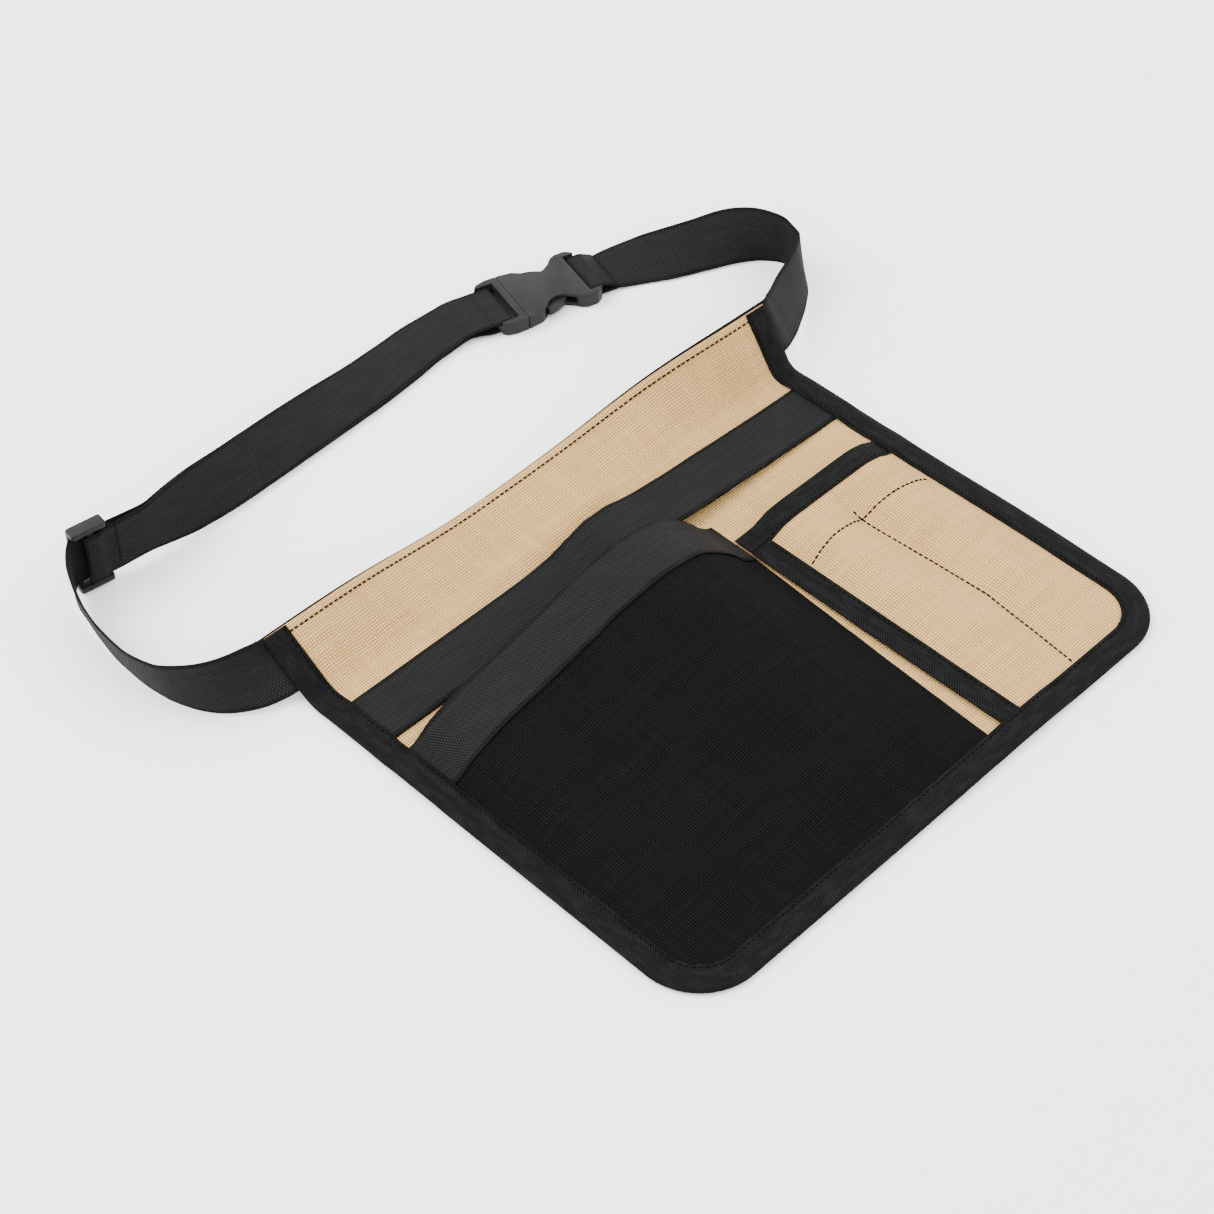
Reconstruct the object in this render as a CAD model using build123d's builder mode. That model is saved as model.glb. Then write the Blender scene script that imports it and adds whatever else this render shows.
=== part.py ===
from build123d import *
import math
import os

os.makedirs("parts", exist_ok=True)

# A canvas tool belt lying open side up: a bound canvas panel with two pockets and a cross strap,
# and a webbing belt that loops off its top edge through a slider and a side release buckle.
# X runs along the waist, Y from the bottom edge to the waist, Z up from the ground.

# ---------------------------------------------------------------- driving dimensions, millimetres
PANEL_W = 351.0
PANEL_FLAT_H = 258.0
CORNER_R = 35.0
PANEL_LEFT = -179.5
PANEL_BOTTOM = -219.26

CANVAS_T = 0.8
POCKET_T = 0.6
TAPE_T = 0.7
WEB_W = 32.0
WEB_T = 1.2
BIND_W = 14.7
LAY_GAP = 0.1

CURL_LEN = 46.0
CURL_BEND = 12.0
CURL_LEFT_DEG = 32.0
CURL_RIGHT_DEG = 57.0
WAIST_WEB_FROM = 15.5
STRAP_TUCK = 8.0

CROSS_FROM = 218.4
MOUTH_V = 207.0
BAND_W = 32.0
BAND_T = 0.6
SEAM_GAP = 0.05
POCKET_RISE = 40.0
GUSSET_W = 17.0
GUSSET_FOOT = 9.0
POCKET_RIGHT_TOP = 226.0
POCKET_RIGHT_BOTTOM = 216.0

TOOL_LEFT = 229.0
TOOL_TOP = 191.0
TOOL_RISE = 6.5
TOOL_DIVIDER = 289.0
TOOL_BIND_W = 13.0

BUCKLE_X = 293.5
BUCKLE_Y = 406.5
BUCKLE_DEG = -15.0
BUCKLE_W = 41.0
BUCKLE_T = 8.5
BUCKLE_LIFT = 0.3
SHELL_T = 2.0
SIDE_T = 3.2
BAR_T = 3.6
SLOT_W = 4.1
PLUG_SLOT_W = 9.1
PLUG_END = -34.0
SPLIT = -16.0
SOCKET_END = 34.0
ARM_T = 3.9
LOOP_GAP = 0.2
PLY_OFFSET = 0.8

SLIDER_X = -22.0
SLIDER_Y = 405.6
SLIDER_Z = 21.4
SLIDER_L = 19.5
SLIDER_W = 41.0
SLIDER_HEAD_DEG = -8.0
SLIDE_TO = 8.0
RUN_GAP = 0.3

# ---------------------------------------------------------------- values that follow from them
PANEL_Z = TAPE_T
PANEL_TOP = PANEL_Z + CANVAS_T
BIND_TOP_Z = PANEL_TOP + 1.7
BIND_Z = BIND_TOP_Z + TAPE_T
LAY_Z = PANEL_TOP + LAY_GAP
CREASE_Y = PANEL_BOTTOM + PANEL_FLAT_H
SIDE_STEPS = [PANEL_W * i / 6 for i in range(7)]


def gx(u):
    return PANEL_LEFT + u


def gy(v):
    return PANEL_BOTTOM + v


def between(low, high, steps):
    """The ends of a stretch and every common station inside it."""
    inner = [s for s in steps if low + 0.5 < s < high - 0.5]
    return [low] + inner + [high]


# ---------------------------------------------------------------- the curled top of the panel
def curl_point(u, v, off):
    """Y and Z of a point v up the curled top at u, lifted off the underside by off."""
    full = math.radians(CURL_LEFT_DEG + (CURL_RIGHT_DEG - CURL_LEFT_DEG) * u / PANEL_W)
    radius = CURL_BEND / full
    turn = full * min(v, CURL_BEND) / CURL_BEND
    y = radius * math.sin(turn)
    z = radius * (1 - math.cos(turn))
    if v > CURL_BEND:
        y += (v - CURL_BEND) * math.cos(full)
        z += (v - CURL_BEND) * math.sin(full)
    return (CREASE_Y + y - off * math.sin(turn), z + off * math.cos(turn))


def curl_sheet(u_from, u_to, v_from, v_to, off_low, off_high, mode=Mode.ADD):
    """A layer of the curled top, lofted across the waist."""
    v_steps = between(v_from, v_to, [3.0, 6.0, 9.0, 12.0])
    sections = []
    for u in between(u_from, u_to, SIDE_STEPS):
        upper = [curl_point(u, v, off_high) for v in v_steps]
        lower = [curl_point(u, v, off_low) for v in reversed(v_steps)]
        with BuildSketch(Plane(origin=(gx(u), 0, 0), x_dir=(0, 1, 0), z_dir=(1, 0, 0))) as section:
            Polygon(*(upper + lower), align=None)
        sections.append(section.sketch.face())
    loft(sections=sections, ruled=True, mode=mode)


def panel_outline(inset, height):
    """The panel's outline, inset on its sides and bottom, with its round bottom corners."""
    wide = PANEL_W - 2 * inset
    tall = height - inset
    with Locations((gx(PANEL_W / 2), gy(inset + tall / 2))):
        Rectangle(wide, tall)
    fillet(vertices().group_by(Axis.Y)[0], radius=CORNER_R - inset)


def arch_sheet(stations, points_at):
    """A sheet lofted up the panel: points_at gives its lower and upper lines across the waist."""
    sections = []
    for v in stations:
        low, high = points_at(v)
        outline = low + high[::-1]
        with BuildSketch(Plane(origin=(0, gy(v), 0), x_dir=(1, 0, 0), z_dir=(0, -1, 0))) as section:
            Polygon(*outline, align=None)
        sections.append(section.sketch.face())
    loft(sections=sections, ruled=True)


# ---------------------------------------------------------------- panel and its binding
with BuildPart() as back_panel:
    with BuildSketch(Plane.XY.offset(PANEL_Z)):
        panel_outline(1.0, PANEL_FLAT_H)
    extrude(amount=CANVAS_T)
    curl_sheet(1.0, PANEL_W - 1.0, 0, CURL_LEN, PANEL_Z, PANEL_TOP)

with BuildPart() as edge_binding:
    with BuildSketch():
        panel_outline(0, PANEL_FLAT_H)
    extrude(amount=BIND_Z)
    with BuildSketch(Plane.XY.offset(TAPE_T)):
        panel_outline(BIND_W, PANEL_FLAT_H)
    extrude(amount=BIND_Z, mode=Mode.SUBTRACT)
    with BuildSketch(Plane.XY.offset(-1)):
        panel_outline(BIND_W, PANEL_FLAT_H)
    extrude(amount=BIND_Z, mode=Mode.SUBTRACT)
    with BuildSketch(Plane.XY.offset(TAPE_T)):
        panel_outline(TAPE_T, PANEL_FLAT_H)
    extrude(amount=BIND_TOP_Z - TAPE_T, mode=Mode.SUBTRACT)
    curl_sheet(0, BIND_W, 0, CURL_LEN, 0, BIND_Z)
    curl_sheet(TAPE_T, BIND_W + 1, 0, CURL_LEN + 1, TAPE_T, BIND_TOP_Z, mode=Mode.SUBTRACT)
    curl_sheet(PANEL_W - BIND_W, PANEL_W, 0, CURL_LEN, 0, BIND_Z)
    curl_sheet(PANEL_W - BIND_W - 1, PANEL_W - TAPE_T, 0, CURL_LEN + 1, TAPE_T, BIND_TOP_Z, mode=Mode.SUBTRACT)

with BuildPart() as waistband_webbing:
    curl_sheet(
        STRAP_TUCK, PANEL_W - STRAP_TUCK, WAIST_WEB_FROM, WAIST_WEB_FROM + WEB_W,
        -LAY_GAP - WEB_T, -LAY_GAP,
    )

# ---------------------------------------------------------------- cross strap, free between its ends
CROSS_WAVE = [
    (5.0, 0.0), (14.0, 0.0), (60.0, 0.3), (120.0, 0.8), (145.0, 2.2), (165.0, 7.5), (178.0, 11.0),
    (190.0, 11.0), (205.0, 8.0), (232.0, 5.2), (263.0, 3.4), (295.0, 1.4), (337.0, 0.0), (346.0, 0.0),
]

with BuildPart() as cross_strap:
    wave_low = [(gx(u), LAY_Z + lift) for u, lift in CROSS_WAVE]
    wave_high = [(gx(u), LAY_Z + lift + WEB_T) for u, lift in reversed(CROSS_WAVE)]
    with BuildSketch(Plane(origin=(0, gy(CROSS_FROM), 0), x_dir=(1, 0, 0), z_dir=(0, -1, 0))):
        Polygon(*(wave_low + wave_high), align=None)
    extrude(amount=-WEB_W)

# ---------------------------------------------------------------- main pocket, puffed up at its mouth
# how far each part of the front stands up, across the waist and then up the panel
FRONT_ARCH = [
    (5.0, 0.0), (15.4, 0.002), (30.0, 0.23), (50.0, 0.42), (76.0, 0.57), (104.0, 0.74), (131.0, 0.92),
    (159.0, 1.0), (181.0, 0.92), (197.0, 0.66),
]
POCKET_SWELL = [(5.0, 0.004), (14.7, 0.006), (40.0, 0.22), (75.0, 0.46), (110.0, 0.68), (145.0, 0.86), (175.0, 0.96)]
FOLD_LIFT = 0.38


def swell_at(v):
    steps = POCKET_SWELL + [(MOUTH_V + 3, 1.0)]
    for (v0, s0), (v1, s1) in zip(steps, steps[1:]):
        if v <= v1:
            return s0 + (s1 - s0) * (v - v0) / (v1 - v0)
    return 1.0


def pocket_right(v):
    return POCKET_RIGHT_BOTTOM + (POCKET_RIGHT_TOP - POCKET_RIGHT_BOTTOM) * min(v, 175.0) / 175.0


def front_line(v, off):
    """The pocket front's line at height v up the panel, from the left binding to its right fold."""
    fold_u = pocket_right(v) - GUSSET_W
    shift = fold_u / (POCKET_RIGHT_TOP - GUSSET_W)
    rise = POCKET_RISE * swell_at(v)
    line = [(gx(5.0 + (u - 5.0) * shift), LAY_Z + off + rise * s) for u, s in FRONT_ARCH]
    return line + [(gx(fold_u), LAY_Z + off + rise * FOLD_LIFT)]


def gusset_line(v, off):
    """The gusset's line from the pocket's fold down to the panel."""
    right = pocket_right(v)
    rise = POCKET_RISE * swell_at(v)
    return [
        (gx(right - GUSSET_W), LAY_Z + off + rise * FOLD_LIFT),
        (gx(right - GUSSET_W * 0.62), LAY_Z + off + rise * 0.19),
        (gx(right - GUSSET_W * 0.25), LAY_Z + off + rise * 0.05),
        (gx(right), LAY_Z + off),
    ]


front_steps = [v for v, s in POCKET_SWELL] + [MOUTH_V]

with BuildPart() as main_pocket_front:
    arch_sheet(front_steps, lambda v: (front_line(v, 0), front_line(v, CANVAS_T)))
    with BuildSketch():
        panel_outline(2.0, PANEL_FLAT_H)
    extrude(amount=POCKET_RISE + 20, mode=Mode.INTERSECT)

with BuildPart() as main_pocket_gusset:
    arch_sheet(front_steps, lambda v: (
        gusset_line(v, 0) + [(gx(pocket_right(v) + GUSSET_FOOT), LAY_Z)],
        gusset_line(v, CANVAS_T) + [(gx(pocket_right(v) + GUSSET_FOOT), LAY_Z + CANVAS_T)],
    ))

with BuildPart() as main_pocket_mouth_band:
    arch_sheet([MOUTH_V + 1.0 - BAND_W, MOUTH_V + 1.0], lambda v: (
        front_line(v, CANVAS_T + SEAM_GAP) + gusset_line(v, CANVAS_T + SEAM_GAP)[1:],
        front_line(v, CANVAS_T + SEAM_GAP + BAND_T) + gusset_line(v, CANVAS_T + SEAM_GAP + BAND_T)[1:],
    ))

# ---------------------------------------------------------------- tool pocket, two compartments
TOOL_SWELL = [(5.0, 0.003), (14.7, 0.005), (50.0, 0.45), (100.0, 0.8), (150.0, 0.94)]
TOOL_Z = LAY_Z + CANVAS_T + LAY_GAP


def tool_swell_at(v):
    steps = TOOL_SWELL + [(TOOL_TOP + 3, 1.0)]
    for (v0, s0), (v1, s1) in zip(steps, steps[1:]):
        if v <= v1:
            return s0 + (s1 - s0) * (v - v0) / (v1 - v0)
    return 1.0


def tool_arch(u):
    """How far the tool pocket's front stands up across the waist: two arches and a stitched divider."""
    arch = [
        (TOOL_LEFT, 0.0), (241.5, 0.12), (252.0, 0.75), (266.0, 1.0), (279.0, 0.62), (286.0, 0.1),
        (TOOL_DIVIDER, 0.0), (292.0, 0.1), (299.0, 0.68), (312.0, 1.0), (325.0, 0.68), (336.0, 0.004),
        (346.0, 0.0),
    ]
    for (u0, s0), (u1, s1) in zip(arch, arch[1:]):
        if u <= u1:
            return s0 + (s1 - s0) * (u - u0) / (u1 - u0)
    return 0.0


def tool_floor(u):
    """The front starts on the gusset's foot and comes down to the panel at its divider."""
    if u < 240.0:
        return TOOL_Z
    return TOOL_Z + (LAY_Z - TOOL_Z) * min(1.0, (u - 240.0) / 30.0)


TOOL_U = [TOOL_LEFT, 241.5, 252.0, 266.0, 279.0, 286.0, 289.0, 292.0, 299.0, 312.0, 325.0, 336.0, 346.0]
TOOL_TRIM = POCKET_T + SEAM_GAP


def tool_line(v, off, u_low, u_high):
    stations = between(u_low, u_high, TOOL_U)
    rise = TOOL_RISE * tool_swell_at(v)
    return [(gx(u), tool_floor(u) + off + rise * tool_arch(u)) for u in stations]


with BuildPart() as tool_pocket_front:
    arch_sheet([v for v, s in TOOL_SWELL] + [TOOL_TOP], lambda v: (
        tool_line(v, 0, TOOL_LEFT, 346.0),
        tool_line(v, POCKET_T, TOOL_LEFT, 346.0),
    ))
    with BuildSketch():
        panel_outline(2.0, PANEL_FLAT_H)
    extrude(amount=POCKET_RISE + 20, mode=Mode.INTERSECT)

with BuildPart() as tool_pocket_top_binding:
    arch_sheet([TOOL_TOP + 1.0 - TOOL_BIND_W, TOOL_TOP + 1.0], lambda v: (
        tool_line(v, TOOL_TRIM, TOOL_LEFT, 346.0),
        tool_line(v, TOOL_TRIM + TAPE_T, TOOL_LEFT, 346.0),
    ))

with BuildPart() as tool_pocket_side_binding:
    arch_sheet([BIND_W + 0.2, 50.0, 100.0, 150.0, TOOL_TOP - TOOL_BIND_W + 0.8], lambda v: (
        [(gx(TOOL_LEFT - 2.0), TOOL_Z), (gx(TOOL_LEFT - 1.2), TOOL_Z), (gx(TOOL_LEFT - 1.2), TOOL_Z + TOOL_TRIM)]
        + tool_line(v, TOOL_TRIM, TOOL_LEFT, 241.5),
        [(gx(TOOL_LEFT - 2.0), TOOL_Z + TOOL_TRIM), (gx(TOOL_LEFT - 2.0), TOOL_Z + TOOL_TRIM + TAPE_T)]
        + tool_line(v, TOOL_TRIM + TAPE_T, TOOL_LEFT, 241.5),
    ))


# ---------------------------------------------------------------- belt webbing
def level(deg):
    return (math.cos(math.radians(deg)), math.sin(math.radians(deg)))


def ribbon(stations, half=WEB_T / 2):
    """Webbing lofted along its lower edge: x, y, z of that edge, heading, lean, offset of the ply.
    Heading is the way of travel round the loop; lean turns the width up from the loop's inside."""
    sections = []
    for x, y, z, heading, lean, off in stations:
        hx, hy = level(heading)
        c, s = level(lean)
        wide = Vector(c * hy, -c * hx, s)
        ahead = Vector(hx, hy, 0)
        inward = ahead.cross(wide)
        centre = Vector(gx(x), gy(y), z) + wide * (WEB_W / 2) + inward * off
        with BuildSketch(Plane(origin=centre, x_dir=wide, z_dir=ahead)) as section:
            Rectangle(WEB_W, 2 * half)
        sections.append(section.sketch.face())
    for near, far in zip(sections, sections[1:]):
        loft(sections=[near, far], ruled=True)


def curl_station(u, heading):
    """The waistband's end section as a webbing station."""
    y, z = curl_point(u, WAIST_WEB_FROM, -LAY_GAP - WEB_T / 2)
    lean = CURL_LEFT_DEG + (CURL_RIGHT_DEG - CURL_LEFT_DEG) * u / PANEL_W
    return (u, y - PANEL_BOTTOM, z, heading, lean, 0.0)


def buckle_point(along, across):
    hx, hy = level(BUCKLE_DEG)
    return (BUCKLE_X + along * hx - across * hy, BUCKLE_Y + along * hy + across * hx)


def buckle_station(along, z):
    """A flat webbing section square to the buckle."""
    x, y = buckle_point(along, -WEB_W / 2)
    return (x, y, z, BUCKLE_DEG, 180.0, 0.0)


SLIDE_EDGE_Z = SLIDER_Z - WEB_W / 2
BAR_MID_Z = BUCKLE_LIFT + BUCKLE_T / 2
LOOP_R = BAR_T / 2 + LOOP_GAP
PLY_TOP_Z = BAR_MID_Z + LOOP_R + WEB_T / 2
PLY_LOW_Z = BAR_MID_Z - LOOP_R - WEB_T / 2
LOOP_RUN = 36.0



def slide_line(x):
    """The straight stretch that the slider runs on."""
    return SLIDER_Y + (x - SLIDER_X) * math.tan(math.radians(SLIDER_HEAD_DEG))


# the belt's far side: x, y, z of the lower edge, heading, lean
FAR_SIDE = [
    (SLIDE_TO, slide_line(SLIDE_TO), SLIDE_EDGE_Z, SLIDER_HEAD_DEG, 90.0),
    (24.0, 399.0, 3.6, -7.0, 102.0),
    (40.0, 397.0, 2.0, -4.0, 118.0),
    (65.0, 396.0, 1.5, 0.0, 135.0),
    (91.0, 396.8, 1.5, 2.0, 142.0),
    (117.0, 398.0, 1.6, 2.0, 149.0),
    (144.0, 399.4, 1.6, 3.0, 157.0),
    (171.5, 401.0, 1.6, 4.0, 165.0),
    (200.0, 404.0, 1.6, 5.0, 171.0),
    (222.0, 406.5, 2.2, -1.0, 176.0),
    (240.0, 406.2, 3.6, -10.0, 179.0),
]


def far_ply(off):
    return [(x, y, z, h, lean, off) for x, y, z, h, lean in FAR_SIDE]


BUCKLE = Plane(
    origin=(gx(BUCKLE_X), gy(BUCKLE_Y), 0),
    x_dir=(level(BUCKLE_DEG)[0], level(BUCKLE_DEG)[1], 0),
    z_dir=(0, 0, 1),
)
BUCKLE_SECTION = Plane(
    origin=(gx(BUCKLE_X), gy(BUCKLE_Y), 0),
    x_dir=(level(BUCKLE_DEG)[0], level(BUCKLE_DEG)[1], 0),
    z_dir=(level(BUCKLE_DEG)[1], -level(BUCKLE_DEG)[0], 0),
)


def loop_turn(side):
    """Webbing turned round a buckle bar: side is -1 at the plug's end and 1 at the socket's."""
    ring = side * 30.2
    run = side * LOOP_RUN
    with BuildSketch(BUCKLE_SECTION) as turn:
        with Locations((ring, BAR_MID_Z)):
            Circle(LOOP_R + WEB_T)
        with Locations((ring, BAR_MID_Z)):
            Circle(LOOP_R, mode=Mode.SUBTRACT)
        with Locations((ring + side * 5.0, BAR_MID_Z)):
            Rectangle(10.0, 2 * (LOOP_R + WEB_T) + 1, mode=Mode.SUBTRACT)
        with Locations(((ring + run) / 2, PLY_TOP_Z)):
            Rectangle(abs(run - ring), WEB_T)
        with Locations(((ring + run) / 2, PLY_LOW_Z)):
            Rectangle(abs(run - ring), WEB_T)
    extrude(turn.sketch, amount=WEB_W / 2, both=True)


with BuildPart() as left_strap:
    ribbon([
        curl_station(STRAP_TUCK, 180.0),
        curl_station(0.0, 180.0),
        (-13.0, 275.6, 3.4, 158.0, 42.0, 0.0),
        (-25.0, 282.6, 1.8, 143.0, 58.0, 0.0),
        (-34.5, 292.0, 0.9, 128.0, 76.0, 0.0),
        (-41.5, 304.5, 0.6, 113.0, 92.0, 0.0),
        (-46.0, 319.0, 0.6, 101.0, 103.0, 0.0),
        (-47.8, 336.0, 0.6, 92.0, 106.0, 0.0),
        (-47.4, 353.0, 0.7, 86.0, 105.0, 0.0),
        (-45.2, 370.0, 1.6, 80.0, 103.0, 0.0),
        (-42.6, 384.0, 3.2, 75.0, 99.0, 0.0),
        (-40.0, 393.5, 4.8, 66.0, 94.0, -PLY_OFFSET),
        (-37.2, 400.0, SLIDE_EDGE_Z + 0.3, 50.0, 91.0, -PLY_OFFSET),
        (-34.2, 404.2, SLIDE_EDGE_Z + 0.2, 26.0, 90.0, -PLY_OFFSET),
        (-31.0, slide_line(-31.0), SLIDE_EDGE_Z, SLIDER_HEAD_DEG, 90.0, -PLY_OFFSET),
    ] + far_ply(-PLY_OFFSET) + [buckle_station(-LOOP_RUN, PLY_LOW_Z)])
    loop_turn(-1)

# the sewn fold round the slider's bar reaches this far along the strap
FOLD_END = 14.0
SLIDE = Plane(
    origin=(gx(SLIDER_X), gy(SLIDER_Y), SLIDER_Z),
    x_dir=(level(SLIDER_HEAD_DEG)[0], level(SLIDER_HEAD_DEG)[1], 0),
    z_dir=(0, 0, 1),
)

RAIL_IN = PLY_OFFSET + WEB_T / 2 + RUN_GAP
RAIL_OUT = RAIL_IN + 2.0
FOLD_LOW = -PLY_OFFSET + WEB_T / 2 - 0.1
BAR_IN = FOLD_LOW - WEB_T - LOOP_GAP
SLIDER_BAR_T = 1.8
BAR_FAR = BAR_IN - SLIDER_BAR_T
TURN_MID = (BAR_IN + BAR_FAR) / 2
TURN_R = SLIDER_BAR_T / 2 + LOOP_GAP

with BuildPart() as left_strap_end:
    with BuildSketch(SLIDE):
        with Locations((-1.4, TURN_MID)):
            Circle(TURN_R + WEB_T)
        with Locations((-1.4, TURN_MID)):
            Circle(TURN_R, mode=Mode.SUBTRACT)
        with Locations((-1.4 + 5.0, TURN_MID)):
            Rectangle(10.0, 2 * (TURN_R + WEB_T) + 1, mode=Mode.SUBTRACT)
        Polygon(
            (-1.4, TURN_MID + TURN_R), (FOLD_END - 1, TURN_MID + TURN_R),
            (FOLD_END - 1, TURN_MID + TURN_R + WEB_T), (-1.4, TURN_MID + TURN_R + WEB_T), align=None,
        )
        Polygon(
            (-1.4, TURN_MID - TURN_R), (3.0, TURN_MID - TURN_R),
            (10.0, TURN_MID + TURN_R), (FOLD_END, TURN_MID + TURN_R),
            (FOLD_END, TURN_MID + TURN_R - WEB_T), (10.0, TURN_MID + TURN_R - WEB_T),
            (3.0, TURN_MID - TURN_R - WEB_T), (-1.4, TURN_MID - TURN_R - WEB_T), align=None,
        )
    extrude(amount=WEB_W / 2, both=True)

RETURN_START = SLIDER_X + (FOLD_END + RUN_GAP) * level(SLIDER_HEAD_DEG)[0]
RETURN_OFF = -(TURN_MID + TURN_R - WEB_T / 2)

with BuildPart() as left_strap_return:
    ribbon([
        (RETURN_START, slide_line(RETURN_START), SLIDE_EDGE_Z, SLIDER_HEAD_DEG, 90.0, RETURN_OFF),
    ] + [(x, y, z, h, lean, PLY_OFFSET + 0.4) for x, y, z, h, lean in FAR_SIDE[:1]]
      + far_ply(PLY_OFFSET)[1:] + [buckle_station(-LOOP_RUN, PLY_TOP_Z)])

with BuildPart() as right_strap_loop:
    loop_turn(1)
    ribbon([buckle_station(LOOP_RUN, PLY_TOP_Z), buckle_station(44.0, PLY_LOW_Z + WEB_T)])
    ribbon([buckle_station(LOOP_RUN, PLY_LOW_Z), buckle_station(44.0, PLY_LOW_Z - 0.4)])

RIGHT_START = 44.0 + RUN_GAP

with BuildPart() as right_strap:
    ribbon([
        buckle_station(RIGHT_START, PLY_LOW_Z - 0.1),
        (345.5, 372.6, 0.8, -33.0, 164.0, 0.0),
        (361.0, 363.4, 0.8, -28.0, 154.0, 0.0),
        (380.0, 354.6, 0.8, -26.0, 147.0, 0.0),
        (398.0, 346.0, 0.8, -32.0, 124.0, 0.0),
        (410.0, 336.8, 0.7, -48.0, 102.0, 0.0),
        (415.6, 326.6, 0.7, -72.0, 90.0, 0.0),
        (415.6, 315.4, 0.7, -102.0, 84.0, 0.0),
        (409.5, 304.6, 0.8, -130.0, 76.0, 0.0),
        (398.0, 294.8, 1.4, -145.0, 67.0, 0.0),
        (383.0, 285.2, 3.0, -150.0, 60.0, 0.0),
        (366.0, 275.8, 5.6, -160.0, 57.5, 0.0),
        curl_station(PANEL_W, 180.0),
        curl_station(PANEL_W - STRAP_TUCK, 180.0),
    ])

# ---------------------------------------------------------------- slider
with BuildPart() as strap_slider:
    with BuildSketch(SLIDE.offset(-SLIDER_W / 2)):
        with Locations((0, (RAIL_OUT + BAR_FAR) / 2)):
            RectangleRounded(SLIDER_L, RAIL_OUT - BAR_FAR, 1.4)
    extrude(amount=SLIDER_W)
    with BuildSketch(SLIDE):
        with Locations((0, (RAIL_OUT + BAR_FAR) / 2)):
            Rectangle(SLIDER_L + 2, RAIL_OUT - BAR_FAR + 2)
    extrude(amount=WEB_W / 2 + 1.3, both=True, mode=Mode.SUBTRACT)
    with BuildSketch(SLIDE):
        for end in (-1, 1):
            with Locations((end * (SLIDER_L / 2 - 1.8), (RAIL_IN + RAIL_OUT) / 2)):
                Rectangle(3.6, RAIL_OUT - RAIL_IN)
        with Locations((0.2, TURN_MID)):
            Rectangle(3.4, SLIDER_BAR_T)
    extrude(amount=SLIDER_W / 2 - 1, both=True)

# ---------------------------------------------------------------- buckle, socket half
HALF_W = BUCKLE_W / 2
BUCKLE_TOP = BUCKLE_LIFT + BUCKLE_T
CAVITY_HALF = HALF_W - SIDE_T
SLOT_HALF = WEB_W / 2 + 0.7
WINDOW_FROM = -2.8
WINDOW_TO = 16.0
WAIST_HALF = 11.3


def socket_outline():
    """The socket's outline: a wide mouth, a waist with finger cut-outs, and a flared strap end."""
    half = [
        (SPLIT, HALF_W), (-6.5, HALF_W - 1.4), (-2.4, HALF_W - 4.2), (0.6, WAIST_HALF + 1.7),
        (5.5, WAIST_HALF), (11.0, WAIST_HALF + 0.9), (15.5, WAIST_HALF + 4.2), (18.5, HALF_W - 1.8),
        (22.0, HALF_W), (28.5, HALF_W), (32.4, HALF_W - 2.6), (SOCKET_END, HALF_W - 7.0),
    ]
    mirrored = [(a, -n) for a, n in reversed(half)]
    Polygon(*(half + mirrored), align=None)


def slot_and_bar(side, slot_from, slot_to, end):
    """Cut the webbing slot and thin the bar beyond it so the webbing wraps it inside the thickness."""
    middle = side * (slot_from + slot_to) / 2
    bar_middle = side * (slot_to + end + 1.0) / 2
    with BuildSketch(BUCKLE) as slot:
        with Locations((middle, 0)):
            Rectangle(slot_to - slot_from, 2 * SLOT_HALF)
    extrude(slot.sketch, amount=20, mode=Mode.SUBTRACT)
    with BuildSketch(BUCKLE.offset(BAR_MID_Z + BAR_T / 2)) as over_bar:
        with Locations((bar_middle, 0)):
            Rectangle(end + 1.0 - slot_to, 2 * SLOT_HALF)
    extrude(over_bar.sketch, amount=20, mode=Mode.SUBTRACT)
    with BuildSketch(BUCKLE.offset(BAR_MID_Z - BAR_T / 2)) as under_bar:
        with Locations((bar_middle, 0)):
            Rectangle(end + 1.0 - slot_to, 2 * SLOT_HALF)
    extrude(under_bar.sketch, amount=-20, mode=Mode.SUBTRACT)


BAR_FACE = 29.6

with BuildPart() as buckle_socket:
    with BuildSketch(BUCKLE.offset(BUCKLE_LIFT)):
        socket_outline()
    extrude(amount=BUCKLE_T)
    with BuildSketch(BUCKLE.offset(BUCKLE_LIFT + SHELL_T)):
        with Locations(((SPLIT - 1 + WINDOW_TO + 1) / 2, 0)):
            Rectangle(WINDOW_TO + 1 - SPLIT + 1, 2 * CAVITY_HALF)
        with Locations(((WINDOW_FROM + WINDOW_TO) / 2, 0)):
            Rectangle(WINDOW_TO - WINDOW_FROM, BUCKLE_W + 2)
    extrude(amount=BUCKLE_T - 2 * SHELL_T, mode=Mode.SUBTRACT)
    slot_and_bar(1, BAR_FACE - SLOT_W, BAR_FACE, SOCKET_END)

# ---------------------------------------------------------------- buckle, plug half
JOINT_GAP = 0.3
BASE_END = SPLIT - JOINT_GAP

with BuildPart() as buckle_plug:
    with BuildSketch(BUCKLE.offset(BUCKLE_LIFT)):
        Polygon(
            (BASE_END, HALF_W), (-24.0, HALF_W), (-29.5, HALF_W - 1.4), (-33.0, HALF_W - 5.0),
            (PLUG_END, HALF_W - 10.0), (PLUG_END, 10.0 - HALF_W), (-33.0, 5.0 - HALF_W),
            (-29.5, 1.4 - HALF_W), (-24.0, -HALF_W), (BASE_END, -HALF_W), align=None,
        )
    extrude(amount=BUCKLE_T)
    slot_and_bar(-1, BAR_FACE - PLUG_SLOT_W, BAR_FACE, -PLUG_END)
    with BuildSketch(BUCKLE.offset(BAR_MID_Z - ARM_T / 2)):
        with Locations(((BASE_END - 1 + 9.0) / 2, 0)):
            Rectangle(9.0 - BASE_END + 1, 6.4)
    extrude(amount=ARM_T)

ARM_ROOT = SPLIT + 0.5


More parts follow.
